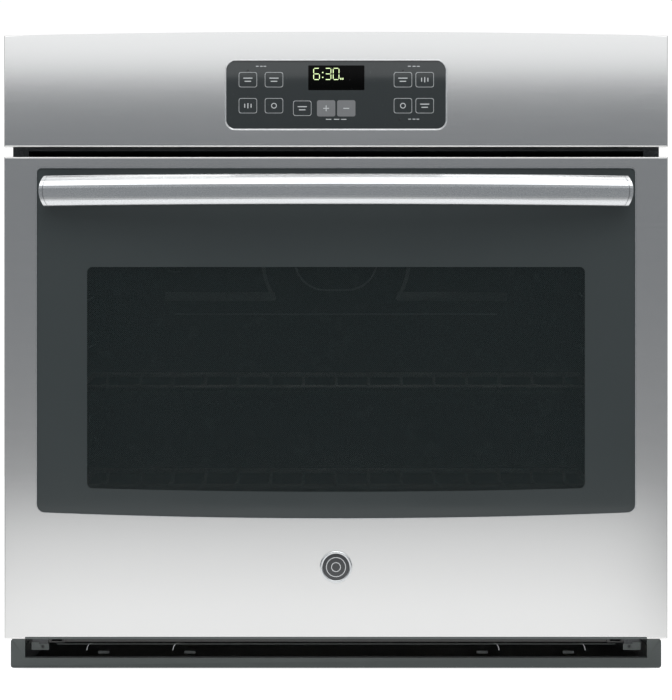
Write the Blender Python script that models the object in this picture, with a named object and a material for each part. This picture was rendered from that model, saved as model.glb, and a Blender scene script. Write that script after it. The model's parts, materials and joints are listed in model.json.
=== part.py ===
"""Built-in wall oven, 30 inch class, single cavity, drop-down door.

Metres, +Z up. The front faces -Y and +X is to the right of someone who faces it. The origin is the
centre of the bottom of the whole oven. Depths are written from the cabinet face, the plane that the
mounting flange rests against: behind(0.01) is 10 mm inside the cabinet, behind(-0.01) 10 mm before it.
"""

import math

import bmesh
import bpy
from mathutils import Matrix, Vector

# ---- driving dimensions -----------------------------------------------------------------------------
WIDTH = 0.75565  # door and control panel, 29 3/4 in
HEIGHT = 0.727  # base to the crown of the control panel, 28 5/8 in
DEPTH = 0.679  # conduit gland to handle, 26 3/4 in
REACH = 0.091  # handle's front, before the cabinet face
FRONT = 0.042  # front face of door and panel, before the cabinet face
BODY_DEPTH = 0.576  # chassis, behind the cabinet face
BODY_HALF = 0.360  # chassis half width, for a 28 1/2 in cut-out
BODY_TOP = 0.692
SHEET = 0.0012
GAP = 0.0005  # left between pieces that touch

HALF = WIDTH / 2
PANEL_BOTTOM = 0.5957
PANEL_CROWN = 0.0045  # the panel's top edge rises by this much at the middle
PANEL_BACK = 0.0022  # rear edge of the fascia, before the cabinet face
CONTROL_HALF, CONTROL_LOW, CONTROL_HIGH, CONTROL_CORNER = 0.1248, 0.6165, 0.6935, 0.010

DOOR_LOW, DOOR_HIGH = 0.0357, 0.5845
DOOR_BACK = 0.014  # rear edge of the door skin, before the cabinet face
GLASS_HALF, GLASS_LOW, GLASS_HIGH = 0.3415, 0.1722, 0.5725
GLASS_ARC = 0.0074  # the lower edge of the door's glass hangs by this much at the middle
VIEW_HALF, VIEW_LOW, VIEW_HIGH = 0.286, 0.202, 0.464  # see-through area of the inner panes

HINGE_X, HINGE_Z, HINGE_FORWARD = 0.320, 0.0442, 0.0235
HEM_HALF, HEM_TALL, HEM_DEEP = 0.3538, 0.0034, 0.0009  # chamfer along the door's lower edge

HANDLE_Z, HANDLE_TALL, HANDLE_THICK = 0.5452, 0.0350, 0.016
HANDLE_BOW, HANDLE_RISE = 0.024, 0.0016  # the bar's middle stands forward and up by this much
HANDLE_HALF = 0.3372
HANDLE_END_ARC = 0.0058  # how far the rounded ends bulge past the ends' corners
HANDLE_CAP = 0.0045
POST_TALL, FOOT_TALL = 0.0160, 0.0190
HANDLE_BAND_TOP, HANDLE_BAND_LOW = 0.0026, -0.0075  # the front's flat band, about the bar's centre
HANDLE_NOSE, HANDLE_REAR_CROWN = 0.005, 0.001  # depths of the lower round and of the rear's crown
BOLT_X = HANDLE_HALF - 0.0131

CAVITY_HALF, CAVITY_LOW, CAVITY_HIGH = 0.306, 0.078, 0.540
CAVITY_FRONT, CAVITY_BACK = 0.0005, 0.505
GUIDE_PITCH, GUIDE_FIRST, GUIDE_COUNT = 0.059, 0.143, 6
GUIDE_DEEP, GUIDE_TALL = 0.012, 0.010

RACK_HALF, RACK_DEEP, RACK_FRONT = 0.297, 0.410, 0.034
RACK_ROD, RACK_WIRE, RACK_PITCH, RACK_WIRES = 0.0032, 0.0021, 0.040, 15
RACK_STOP = 0.014  # rise of the rear rail
RACK_HEIGHTS = {"rack_lower": GUIDE_FIRST + GUIDE_PITCH, "rack_upper": GUIDE_FIRST + 3 * GUIDE_PITCH}

TRIM_HALF, TRIM_INNER, TRIM_LOW, TRIM_SILL, TRIM_TOP = 0.3720, 0.3557, 0.001, 0.0127, 0.0342
TRIM_FRONT = 0.0135
FLANGE_HALF = 0.3700
FLANGE_STEP = 0.0002  # the frame is thinner by this much between its side strips
VENT_X, VENT_BEHIND = 0.0375, 0.300
OUTLET_HALF, DUCT_HALF = 0.352, 0.3565
INLET_HALF, INLET_TOP = 0.3560, 0.0338
TAB_INNER, TAB_OUTER = 0.3288, 0.3488  # sides of the trim's brackets, each on an ear of the frame

BLOWER_X, BLOWER_BEHIND, BLOWER_Z = 0.0, 0.420, 0.632
BLOWER_RADIUS, BLOWER_BLADES = 0.052, 16

FACE_Y = REACH - DEPTH / 2


def behind(depth):
    """Y of a plane this far behind the cabinet face."""
    return FACE_Y + depth


# ---- tools ------------------------------------------------------------------------------------------
FINISHES = {  # base colour, roughness, metallic
    "stainless": ((0.46, 0.47, 0.48), 0.25, 1.0),
    "bright_steel": ((0.62, 0.63, 0.64), 0.15, 1.0),
    "galvanised": ((0.50, 0.52, 0.53), 0.45, 1.0),
    "spring_steel": ((0.30, 0.30, 0.31), 0.35, 1.0),
    "grey_paint": ((0.080, 0.095, 0.095), 0.45, 0.0),
    "black_paint": ((0.010, 0.011, 0.011), 0.50, 0.0),
    "enamel": ((0.022, 0.026, 0.030), 0.18, 0.0),
    "black_glass": ((0.035, 0.040, 0.041), 0.06, 0.0),
    "clear_glass": ((0.60, 0.66, 0.66), 0.03, 0.0),
    "frosted_glass": ((0.85, 0.86, 0.84), 0.30, 0.0),
    "nickel": ((0.55, 0.54, 0.52), 0.22, 1.0),
    "element_sheath": ((0.060, 0.058, 0.058), 0.55, 0.3),
    "fibreglass": ((0.62, 0.58, 0.46), 0.95, 0.0),
    "gasket_braid": ((0.120, 0.120, 0.115), 0.90, 0.0),
    "circuit_green": ((0.015, 0.110, 0.045), 0.55, 0.0),
    "moulded_black": ((0.014, 0.014, 0.015), 0.50, 0.0),
    "ceramic": ((0.72, 0.70, 0.66), 0.45, 0.0),
}


def finish(obj, name):
    """Gives the object a Principled material of its own."""
    colour, roughness, metallic = FINISHES[name]
    material = bpy.data.materials.new(obj.name + "_" + name)
    material.use_nodes = True
    shader = material.node_tree.nodes["Principled BSDF"]
    shader.inputs["Base Color"].default_value = (*colour, 1)
    shader.inputs["Roughness"].default_value = roughness
    shader.inputs["Metallic"].default_value = metallic
    obj.data.materials.clear()
    obj.data.materials.append(material)
    return obj


def add(name, bm, at=(0, 0, 0)):
    """An object from a bmesh, with its origin at a point of the oven; the mesh is in the oven's frame."""
    bmesh.ops.translate(bm, verts=bm.verts, vec=-Vector(at))
    bmesh.ops.recalc_face_normals(bm, faces=bm.faces)
    mesh = bpy.data.meshes.new(name)
    bm.to_mesh(mesh)
    bm.free()
    obj = bpy.data.objects.new(name, mesh)
    obj.location = at
    bpy.context.scene.collection.objects.link(obj)
    return obj


def block(name, x, y, z, bevel=0.0):
    """A box from (low, high) pairs, its origin at its centre. A bevel rounds its edges along Y."""
    bm = bmesh.new()
    bmesh.ops.create_cube(bm, size=1)
    size = [high - low for low, high in (x, y, z)]
    centre = [(high + low) / 2 for low, high in (x, y, z)]
    bmesh.ops.scale(bm, vec=size, verts=bm.verts)
    bmesh.ops.translate(bm, vec=centre, verts=bm.verts)
    if bevel:
        edges = [e for e in bm.edges if abs((e.verts[0].co - e.verts[1].co).y) > size[1] / 2]
        bmesh.ops.bevel(bm, geom=edges, offset=bevel, segments=3, profile=0.5, affect="EDGES")
    return add(name, bm, centre)


AXES = {"X": lambda d, u, v: (d, u, v), "Y": lambda d, u, v: (u, d, v), "Z": lambda d, u, v: (u, v, d)}


def prism(name, outline, span, axis="Y", edge=0.0):
    """An outline pushed along an axis. Its points are (x, z) along Y, (y, z) along X, (x, y) along Z.
    With edge, the rim at the low end of the span is rounded by that radius."""
    place = AXES[axis]
    bm = bmesh.new()
    low = [bm.verts.new(place(span[0], u, v)) for u, v in outline]
    high = [bm.verts.new(place(span[1], u, v)) for u, v in outline]
    first = bm.faces.new(low)
    bm.faces.new(list(reversed(high)))
    for i in range(len(outline)):
        j = (i + 1) % len(outline)
        bm.faces.new((low[j], low[i], high[i], high[j]))
    if edge:
        bmesh.ops.bevel(bm, geom=list(first.edges), offset=edge, segments=3, profile=0.5, affect="EDGES")
    middle = [sum(c) / len(outline) for c in zip(*outline)]
    return add(name, bm, place((span[0] + span[1]) / 2, *middle))


def cylinder(name, centre, axis, radius, length, sides=24, tip=None):
    """A round bar, or a cone where the tip has a radius of its own, centred on a point."""
    bm = bmesh.new()
    bmesh.ops.create_cone(
        bm,
        cap_ends=True,
        segments=sides,
        radius1=radius,
        radius2=radius if tip is None else tip,
        depth=length,
    )
    turn = {"X": Matrix.Rotation(math.pi / 2, 4, "Y"), "Y": Matrix.Rotation(-math.pi / 2, 4, "X")}
    if axis in turn:
        bmesh.ops.transform(bm, matrix=turn[axis], verts=bm.verts)
    bmesh.ops.translate(bm, vec=centre, verts=bm.verts)
    return add(name, bm, centre)


def tube(name, points, radius, sides=6, closed=False):
    """A round wire along a chain of points, mitred at each one."""
    bm = bmesh.new()
    points = [Vector(p) for p in points]
    count = len(points)
    rings = []
    up = None
    for i, point in enumerate(points):
        before = points[i - 1] if closed or i else None
        after = points[(i + 1) % count] if closed or i < count - 1 else None
        into = (point - before).normalized() if before is not None else None
        out = (after - point).normalized() if after is not None else None
        along = ((into or out) + (out or into)).normalized()
        if up is None:
            up = Vector((0, 0, 1)) if abs(along.z) < 0.9 else Vector((1, 0, 0))
        side = along.cross(up).normalized()
        up = side.cross(along).normalized()
        stretch = 1 / max(0.5, along.dot(into or out))
        bend = ((out or into) - (into or out))
        ring = []
        for k in range(sides):
            angle = 2 * math.pi * (k + 0.5) / sides
            offset = side * math.cos(angle) * radius + up * math.sin(angle) * radius
            if bend.length > 1e-6:
                across = bend.normalized()
                offset += across * offset.dot(across) * (stretch - 1)
            ring.append(bm.verts.new(point + offset))
        rings.append(ring)
    pairs = list(zip(rings, rings[1:])) + ([(rings[-1], rings[0])] if closed else [])
    for a, b in pairs:
        for k in range(sides):
            n = (k + 1) % sides
            bm.faces.new((a[k], a[n], b[n], b[k]))
    if not closed:
        bm.faces.new(list(reversed(rings[0])))
        bm.faces.new(rings[-1])
    return add(name, bm, sum(points, Vector()) / count)


def combine(obj, other, operation):
    """Cuts or adds another object, which is then gone."""
    step = obj.modifiers.new("combine", "BOOLEAN")
    step.operation = operation
    step.solver = "EXACT"
    step.object = other
    bpy.context.view_layer.update()
    graph = bpy.context.evaluated_depsgraph_get()
    made = bpy.data.meshes.new_from_object(obj.evaluated_get(graph), depsgraph=graph)
    obj.modifiers.clear()
    spare = obj.data
    obj.data = made
    made.name = obj.name
    bpy.data.meshes.remove(spare)
    bpy.data.objects.remove(other)
    return obj


def cut(obj, *cutters):
    for cutter in cutters:
        combine(obj, cutter, "DIFFERENCE")
    return obj


def fuse(obj, *others):
    for other in others:
        combine(obj, other, "UNION")
    return obj


def smooth(obj, angle=35):
    """Round pieces are shaded smooth, with sharp edges kept."""
    obj.data.shade_smooth()
    obj.data.set_sharp_from_angle(angle=math.radians(angle))
    return obj


def pivot(name, at):
    """An empty on a joint's axis, for the pieces that move with it."""
    empty = bpy.data.objects.new(name, None)
    empty.location = at
    empty.empty_display_size = 0.03
    bpy.context.scene.collection.objects.link(empty)
    return empty


def attach(empty, *pieces):
    for piece in pieces:
        piece.parent = empty
        piece.location -= empty.location


def sheet_metal(x, y, z, name):
    return finish(block(name, x, y, z), "galvanised")


def both_ways(half):
    return (-half, half)


def rounded(x, z, radius, steps=5):
    """A rectangle with round corners, as (u, v) points."""
    corners = (
        (x[1] - radius, z[1] - radius, 0),
        (x[0] + radius, z[1] - radius, 90),
        (x[0] + radius, z[0] + radius, 180),
        (x[1] - radius, z[0] + radius, 270),
    )
    points = []
    for cx, cz, start in corners:
        for i in range(steps + 1):
            angle = math.radians(start + 90 * i / steps)
            points.append((cx + radius * math.cos(angle), cz + radius * math.sin(angle)))
    return points


def arched_panel(half, low, high, crown, steps=24):
    """A rectangle whose top edge is an arc: high at the middle, crown lower at the ends."""
    top = []
    for i in range(steps + 1):
        x = half - 2 * half * i / steps
        top.append((x, high - crown * (x / half) ** 2))
    return [*top, (-half, low), (half, low)]


def hanging_window(half, low, high, arc, top_corner, low_corner, steps=24):
    """The door window's outline: square above, and below an arc that hangs lowest at the middle."""

    def floor(x):
        return low + arc * (x / half) ** 2

    points = []
    for cx, start in ((half - top_corner, 0), (-half + top_corner, 90)):
        for i in range(5):
            angle = math.radians(start + 90 * i / 4)
            rise = top_corner * (math.sin(angle) - 1)
            points.append((cx + top_corner * math.cos(angle), high + rise))
    reach = half - low_corner
    for i in range(5):
        angle = math.radians(180 + 90 * i / 4)
        height = floor(reach) + low_corner
        points.append((-reach + low_corner * math.cos(angle), height + low_corner * math.sin(angle)))
    for i in range(1, steps):
        x = -reach + 2 * reach * i / steps
        points.append((x, floor(x)))
    for i in range(5):
        angle = math.radians(270 + 90 * i / 4)
        height = floor(reach) + low_corner
        points.append((reach + low_corner * math.cos(angle), height + low_corner * math.sin(angle)))
    return points


# ---- chassis ----------------------------------------------------------------------------------------
def chassis_panels():
    """The galvanised box: base, sides, back and top."""
    inner = BODY_HALF - SHEET - GAP
    base = sheet_metal(both_ways(inner), (behind(0.004), behind(BODY_DEPTH - 0.004)), (0, SHEET), "base_pan")
    for low, high in ((-inner, -inner + SHEET), (inner - SHEET, inner)):
        lip = block("lip", (low, high), (behind(0.004), behind(BODY_DEPTH - 0.004)), (SHEET / 2, 0.025))
        fuse(base, lip)
    for x in (-0.270, -0.172, 0.172, 0.270):  # air slots by the front edge
        cut(base, block("slot", (x - 0.013, x + 0.013), (behind(0.030), behind(0.050)), (-0.01, 0.01)))
    side_y = (behind(GAP), behind(BODY_DEPTH - 0.002))
    for side, name in ((-1, "left"), (1, "right")):
        x = sorted((side * (BODY_HALF - SHEET), side * BODY_HALF))
        panel = sheet_metal(x, side_y, (0.001, BODY_TOP - 0.002), "side_panel_" + name)
        for i in range(5):
            y = behind(0.30 + 0.045 * i)
            cut(panel, block("louvre", both_ways(0.4), (y, y + 0.006), (0.600, 0.665)))
    back = sheet_metal(
        both_ways(BODY_HALF - 0.001),
        (behind(BODY_DEPTH - 0.0012), behind(BODY_DEPTH)),
        (0.002, BODY_TOP - 0.002),
        "back_panel",
    )
    through = (behind(BODY_DEPTH - 0.01), behind(BODY_DEPTH + 0.01))
    for i in range(6):
        z = 0.590 + 0.013 * i
        cut(back, block("louvre", (0.06, 0.26), through, (z, z + 0.005)))
    cut(back, cylinder("knockout", (-0.250, behind(BODY_DEPTH), 0.636), "Y", 0.0125, 0.02))
    sheet_metal(
        both_ways(BODY_HALF), (behind(GAP), behind(BODY_DEPTH)), (BODY_TOP - SHEET, BODY_TOP), "top_panel"
    )


def front_frame():
    """The enamelled frame around the mouth. Its side strips are the flange that meets the cabinet."""
    thick = (behind(-0.0015), behind(0))
    through = (behind(-0.02), behind(0.02))
    frame = block("front_frame", both_ways(FLANGE_HALF), thick, (0.004, 0.7205), bevel=0.004)
    middle = both_ways(BODY_HALF + GAP)
    cut(frame, block("step", middle, (behind(-FLANGE_STEP), behind(0.02)), (-0.01, HEIGHT)))
    mouth = rounded(both_ways(CAVITY_HALF), (CAVITY_LOW, CAVITY_HIGH), 0.012)
    cut(frame, prism("mouth", mouth, through))
    inlet = block("air_inlet", both_ways(INLET_HALF), through, (0.0135, INLET_TOP))
    for side in (-1, 1):
        ear_x = sorted((side * (TAB_OUTER - 0.0010), side * (TAB_INNER + 0.0010)))
        cut(inlet, block("ear", ear_x, (behind(-0.03), behind(0.03)), (0.0222, HEIGHT)))
    cut(frame, inlet)
    cut(frame, block("air_outlet", both_ways(OUTLET_HALF), through, (0.580, 0.5925)))
    cut(frame, block("wiring_window", both_ways(0.330), through, (0.606, 0.672)))
    for side in (-1, 1):
        x = sorted((side * HINGE_X - 0.006, side * HINGE_X + 0.006))
        cut(frame, block("hinge_slot", x, through, (HINGE_Z - 0.0075, HINGE_Z + 0.009)))
    cut(frame, cylinder("switch_hole", (0.345, behind(0), 0.552), "Y", 0.0050, 0.02, 16))
    finish(frame, "enamel")


def bottom_trim():
    """The painted U that finishes the oven's foot: two legs with rounded outer edges and a sill."""
    y = (behind(-TRIM_FRONT), behind(-0.002))
    trim = prism("bottom_trim", rounded(both_ways(TRIM_HALF), (TRIM_LOW, TRIM_TOP), 0.003), y, edge=0.0010)
    cut(trim, block("opening", both_ways(TRIM_INNER), (behind(-0.02), behind(0.02)), (TRIM_SILL, 0.05)))
    pocket = block(
        "pocket",
        both_ways(TRIM_HALF - SHEET),
        (behind(-TRIM_FRONT + SHEET), behind(0.01)),
        (TRIM_LOW + SHEET, TRIM_SILL - SHEET),
    )
    cut(trim, pocket)
    finish(trim, "grey_paint")
    for side, name in ((-1, "left"), (1, "right")):
        x = sorted((side * TAB_OUTER, side * TAB_INNER))
        tab = block("trim_bracket_" + name, x, (behind(-0.0035), behind(-0.0019)), (0.0211, 0.0299))
        step = sorted((side * 0.3399, side * 0.3200))
        cut(tab, block("step", step, (behind(-0.01), behind(0.01)), (0.0282, 0.05)))
        cut(tab, cylinder("hole", (side * 0.3357, behind(-0.0027), 0.0251), "Y", 0.0018, 0.01, 12))
        finish(tab, "grey_paint")


def cavity():
    """The enamelled liner with its rack guides, and the blanket around it."""
    wall = 0.0015
    y = (behind(CAVITY_FRONT), behind(CAVITY_BACK + wall))
    liner = block(
        "cavity_liner",
        both_ways(CAVITY_HALF + wall),
        y,
        (CAVITY_LOW - wall, CAVITY_HIGH + wall),
    )
    ledges = [GUIDE_FIRST + GUIDE_PITCH * i - RACK_ROD - GAP for i in range(GUIDE_COUNT)]
    right = [(CAVITY_HALF, CAVITY_LOW)]
    shelf = CAVITY_HALF - GUIDE_DEEP
    for top in ledges:
        right += [(CAVITY_HALF, top - GUIDE_TALL), (shelf, top - GUIDE_TALL / 3)]
        right += [(shelf, top), (CAVITY_HALF, top)]
    right.append((CAVITY_HALF, CAVITY_HIGH))
    left = [(-x, z) for x, z in reversed(right)]
    cut(liner, prism("hollow", right + left, (behind(-0.02), behind(CAVITY_BACK))))
    back = behind(CAVITY_BACK)
    cut(
        liner,
        cylinder("lamp_hole", (-0.200, back, 0.480), "Y", 0.020, 0.02, 24),
        cylinder("probe_hole", (0.190, back, 0.500), "Y", 0.0038, 0.02, 12),
        cylinder("element_hole", (-0.035, back, 0.522), "Y", 0.0042, 0.02, 12),
        cylinder("element_hole", (0.035, back, 0.522), "Y", 0.0042, 0.02, 12),
        cylinder("vent_hole", (VENT_X, behind(VENT_BEHIND), CAVITY_HIGH), "Z", 0.0165, 0.02, 20),
    )
    finish(liner, "enamel")

    blanket = block("cavity_insulation", both_ways(0.337), (behind(0.066), behind(0.532)), (0.042, 0.572))
    cut(
        blanket,
        block("room", both_ways(CAVITY_HALF + 0.003), (behind(0), behind(0.508)), (0.060, 0.5435)),
        cylinder("lamp_hole", (-0.200, behind(0.52), 0.480), "Y", 0.024, 0.06, 20),
        cylinder("probe_hole", (0.190, behind(0.52), 0.500), "Y", 0.006, 0.06, 12),
        cylinder("element_hole", (-0.035, behind(0.52), 0.522), "Y", 0.007, 0.06, 12),
        cylinder("element_hole", (0.035, behind(0.52), 0.522), "Y", 0.007, 0.06, 12),
        cylinder("vent_hole", (VENT_X, behind(VENT_BEHIND), 0.56), "Z", 0.0185, 0.06, 20),
    )
    finish(blanket, "fibreglass")


def door_gasket():
    outside = rounded(both_ways(0.320), (0.066, 0.554), 0.024)
    ring = prism("door_gasket", outside, (behind(-0.0115), behind(-0.002)))
    hole = rounded(both_ways(0.3085), (0.0775, 0.5425), 0.013)
    cut(ring, prism("hole", hole, (behind(-0.03), behind(0.02))))
    finish(ring, "gasket_braid")


def serpentine(half, near, far, passes, turn):
    """Points of a flat snake of U bends: passes run along Y, side by side across X."""
    pitch = 2 * half / (passes - 1)
    points = []
    for i in range(passes):
        x = -half + pitch * i
        away = i % 2 == 0
        start, end = (far, near) if away else (near, far)
        points.append((x, start))
        points.append((x, end))
        if i < passes - 1:
            for k in range(1, turn):
                angle = math.pi * k / turn
                bulge = math.sin(angle) * pitch / 2 * (-1 if away else 1)
                points.append((x + pitch / 2 * (1 - math.cos(angle)), end + bulge))
    return points


def heating_elements():
    """Two sheathed rods: the grill under the roof, and the bake element hidden under the floor."""
    z = 0.522
    snake = serpentine(0.245, behind(0.075), behind(0.420), 8, 6)
    lead_in = [(-0.035, behind(0.530), z), (-0.035, behind(0.470), z), (-0.245, behind(0.462), z)]
    lead_out = [(0.245, behind(0.462), z), (0.035, behind(0.470), z), (0.035, behind(0.530), z)]
    route = lead_in + [(x, y, z) for x, y in snake] + lead_out
    finish(smooth(tube("broil_element", route, 0.0032)), "element_sheath")
    loop = rounded((-0.230, 0.230), (behind(0.090), behind(0.430)), 0.060)
    bake = tube("bake_element", [(x, y, 0.0680) for x, y in loop], 0.0032, closed=True)
    finish(smooth(bake), "element_sheath")


def lamp_and_probe():
    """The lamp in the rear wall, with its holder behind the wall, and the temperature probe."""
    x, z = -0.200, 0.480
    holder = cylinder("light_socket", (x, behind(0.521), z), "Y", 0.0185, 0.026)
    cut(holder, cylinder("bore", (x, behind(0.510), z), "Y", 0.0140, 0.034))
    finish(smooth(holder), "ceramic")
    bulb = cylinder("light_bulb", (x, behind(0.521), z), "Y", 0.0130, 0.0100)
    for centre, radius, long, tip in ((0.509, 0.0150, 0.016, 0.0125), (0.497, 0.0080, 0.010, 0.0150)):
        fuse(bulb, cylinder("glass", (x, behind(centre), z), "Y", radius, long, tip=tip))
    finish(smooth(bulb), "frosted_glass")
    lens = cylinder("light_lens", (x, behind(0.4915), z), "Y", 0.019, 0.024, tip=0.026)
    fuse(lens, cylinder("rim", (x, behind(0.5025), z), "Y", 0.030, 0.004))
    cut(lens, cylinder("hollow", (x, behind(0.4960), z), "Y", 0.0165, 0.026, tip=0.0235))
    finish(smooth(lens), "clear_glass")
    probe = cylinder("temperature_probe", (0.190, behind(0.490), 0.500), "Y", 0.0030, 0.110, 12)
    fuse(probe, cylinder("stop", (0.190, behind(0.5030), 0.500), "Y", 0.0080, 0.003, 16))
    finish(smooth(probe), "bright_steel")


def rack(name, z, stop):
    """A wire rack: rods run front to back under a heavier border whose rear edge rises as a stop."""
    near, far = behind(RACK_FRONT), behind(RACK_FRONT + RACK_DEEP)
    border = [(x, y, z) for x, y in rounded(both_ways(RACK_HALF), (near, far - 0.03), 0.018, 4)]
    rear = [p for p in border if p[1] > far - 0.05]
    front = [p for p in border if p[1] <= far - 0.05]
    raised = [(x, y + 0.03, z + RACK_STOP) for x, y, z in rear]
    ordered = raised + front
    frame = tube(name, ordered, RACK_ROD, closed=True)
    cross = (near + far) / 2
    fuse(frame, tube("cross", [(-RACK_HALF, cross, z), (RACK_HALF, cross, z)], RACK_ROD))
    for i in range(RACK_WIRES):
        x = RACK_PITCH * (i - (RACK_WIRES - 1) / 2)
        wire = [
            (x, near, z + 0.0016),
            (x, far - 0.034, z + 0.0016),
            (x, far - 0.001, z + RACK_STOP + 0.0002),
        ]
        fuse(frame, tube("wire", wire, RACK_WIRE))
    finish(smooth(frame), "nickel")
    attach(stop, frame)


# ---- control panel and what is above the cavity ------------------------------------------------------
def control_panel():
    """The stainless fascia, the touch glass in it, the display and the board behind."""
    front, back = behind(-FRONT), behind(-PANEL_BACK)
    outside = arched_panel(HALF, PANEL_BOTTOM, HEIGHT, PANEL_CROWN)
    face = prism("control_panel", outside, (front, back), edge=0.0016)
    inside = arched_panel(HALF - SHEET, PANEL_BOTTOM + SHEET, HEIGHT - SHEET, PANEL_CROWN)
    cut(face, prism("inside", inside, (front + SHEET, back + 0.02)))
    opening = rounded(both_ways(CONTROL_HALF + 0.0008), (CONTROL_LOW - 0.0008, CONTROL_HIGH + 0.0008), 0.0108)
    cut(face, prism("opening", opening, (front - 0.01, front + 0.01)))
    finish(face, "stainless")
    pane = rounded(both_ways(CONTROL_HALF), (CONTROL_LOW, CONTROL_HIGH), CONTROL_CORNER)
    finish(prism("control_glass", pane, (front + 0.0008, front + 0.0040), edge=0.0004), "black_glass")
    display = block("display_module", both_ways(0.033), (front + 0.0044, front + 0.0120), (0.6610, 0.6905))
    finish(display, "moulded_black")
    y = front + 0.0044
    carrier = block("control_carrier", both_ways(0.150), (y, y + 0.016), (0.604, 0.704))
    cut(carrier, block("room", both_ways(0.147), (y + 0.0020, y + 0.03), (0.607, 0.701)))
    cut(carrier, block("display_window", both_ways(0.0335), (y - 0.01, y + 0.01), (0.6605, 0.6910)))
    finish(carrier, "moulded_black")
    board = block("control_board", both_ways(0.140), (y + 0.0100, y + 0.0116), (0.612, 0.696))
    parts = (  # centre x, z, width, height and depth of the transformer, the relays and the processor
        (-0.095, 0.655, 0.034, 0.030, 0.020),
        (-0.045, 0.650, 0.020, 0.024, 0.014),
        (0.020, 0.640, 0.016, 0.016, 0.006),
        (0.065, 0.655, 0.022, 0.018, 0.016),
        (0.100, 0.655, 0.022, 0.018, 0.016),
    )
    for x, z, wide, tall, deep in parts:
        across = (x - wide / 2, x + wide / 2)
        fuse(board, block("part", across, (y + 0.0112, y + 0.0116 + deep), (z - tall / 2, z + tall / 2)))
    finish(board, "circuit_green")


def air_system():
    """The cooling blower, the duct that leads its air to the slot under the fascia, and the oven's vent."""
    low, high = 0.5755, 0.5940
    duct = block("air_duct", both_ways(DUCT_HALF), (behind(0.004), behind(0.500)), (low, high))
    room = (behind(-0.01), behind(0.500 - SHEET))
    cut(duct, block("bore", both_ways(DUCT_HALF - SHEET), room, (low + SHEET, high - SHEET)))
    cut(duct, cylinder("blower_mouth", (BLOWER_X, behind(BLOWER_BEHIND), high), "Z", 0.045, 0.01, 24))
    cut(duct, cylinder("vent_mouth", (VENT_X, behind(VENT_BEHIND), low), "Z", 0.0170, 0.01, 20))
    finish(duct, "galvanised")
    centre = (BLOWER_X, behind(BLOWER_BEHIND))
    shell = cylinder("blower_housing", (*centre, 0.621), "Z", 0.068, 0.052, 32)
    cut(shell, cylinder("room", (*centre, 0.619), "Z", 0.0668, 0.0536, 32))
    cut(shell, cylinder("shaft_hole", (*centre, 0.645), "Z", 0.0050, 0.02, 16))
    finish(smooth(shell), "galvanised")
    motor = cylinder("blower_motor", (*centre, 0.6610), "Z", 0.030, 0.026, 24)
    fuse(motor, cylinder("shaft", (*centre, 0.6420), "Z", 0.0030, 0.020, 12))
    finish(smooth(motor), "black_paint")
    wheel = cylinder("blower_wheel", (*centre, 0.6390), "Z", BLOWER_RADIUS, 0.002, 32)
    fuse(wheel, cylinder("boss", (*centre, 0.6355), "Z", 0.0080, 0.008, 16))
    for i in range(BLOWER_BLADES):
        angle = 2 * math.pi * i / BLOWER_BLADES
        vane = block("vane", (0.040, 0.0505), (-0.0005, 0.0005), (0.600, 0.6385))
        root = Matrix.Translation((0.045, 0, 0))
        pitch = root @ Matrix.Rotation(0.7, 4, "Z") @ root.inverted()
        vane.data.transform(Matrix.Rotation(angle, 4, "Z") @ pitch @ Matrix.Translation(vane.location))
        vane.location = (*centre, 0)
        fuse(wheel, vane)
    rim = cylinder("rim", (*centre, 0.6010), "Z", 0.0515, 0.002, 32)
    cut(rim, cylinder("eye", (*centre, 0.6010), "Z", 0.0420, 0.01, 32))
    fuse(wheel, rim)
    cut(wheel, cylinder("bore", (*centre, 0.6355), "Z", 0.0034, 0.03, 12))
    finish(wheel, "galvanised")
    attach(pivot("blower_axis", (*centre, BLOWER_Z)), wheel)
    vent_at = (VENT_X, behind(VENT_BEHIND), 0.5630)
    vent = cylinder("vent_tube", vent_at, "Z", 0.0155, 0.050, 20)
    cut(vent, cylinder("bore", vent_at, "Z", 0.0143, 0.08, 20))
    finish(smooth(vent), "galvanised")


def supply():
    """Where the house wiring comes in: a terminal block, and the gland in the back panel."""
    blk = block("terminal_block", (-0.285, -0.215), (behind(0.480), behind(0.510)), (0.600, 0.622))
    for i in range(3):
        x = -0.270 + 0.020 * i
        cut(blk, block("slot", (x - 0.006, x + 0.006), (behind(0.484), behind(0.506)), (0.608, 0.63)))
    fuse(blk, block("foot", (-0.292, -0.208), (behind(0.478), behind(0.512)), (0.5965, 0.6005)))
    finish(blk, "ceramic")
    at = (-0.250, behind(BODY_DEPTH), 0.636)
    y = at[1]
    gland = cylinder("conduit_gland", (at[0], y + 0.0067, at[2]), "Y", 0.0170, 0.0106, 24)
    fuse(gland, cylinder("neck", (at[0], y - 0.0020, at[2]), "Y", 0.0118, 0.020, 24))
    cut(gland, cylinder("bore", (at[0], y, at[2]), "Y", 0.0095, 0.05, 24))
    finish(smooth(gland), "galvanised")


def light_switch():
    """The door switch: a body behind the frame, and the plunger that the closed door holds in."""
    x, z = 0.345, 0.552
    deep = (behind(0.0005), behind(0.028))
    body = block("light_switch", (x - 0.009, x + 0.009), deep, (z - 0.012, z + 0.012))
    cut(body, cylinder("bore", (x, behind(0.005), z), "Y", 0.0046, 0.040, 16))
    finish(body, "moulded_black")
    plunger = cylinder("light_switch_plunger", (x, behind(0.0005), z), "Y", 0.0040, 0.0240, 16)
    finish(smooth(plunger), "frosted_glass")
    attach(pivot("light_switch_slide", (x, behind(0), z)), plunger)


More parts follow.
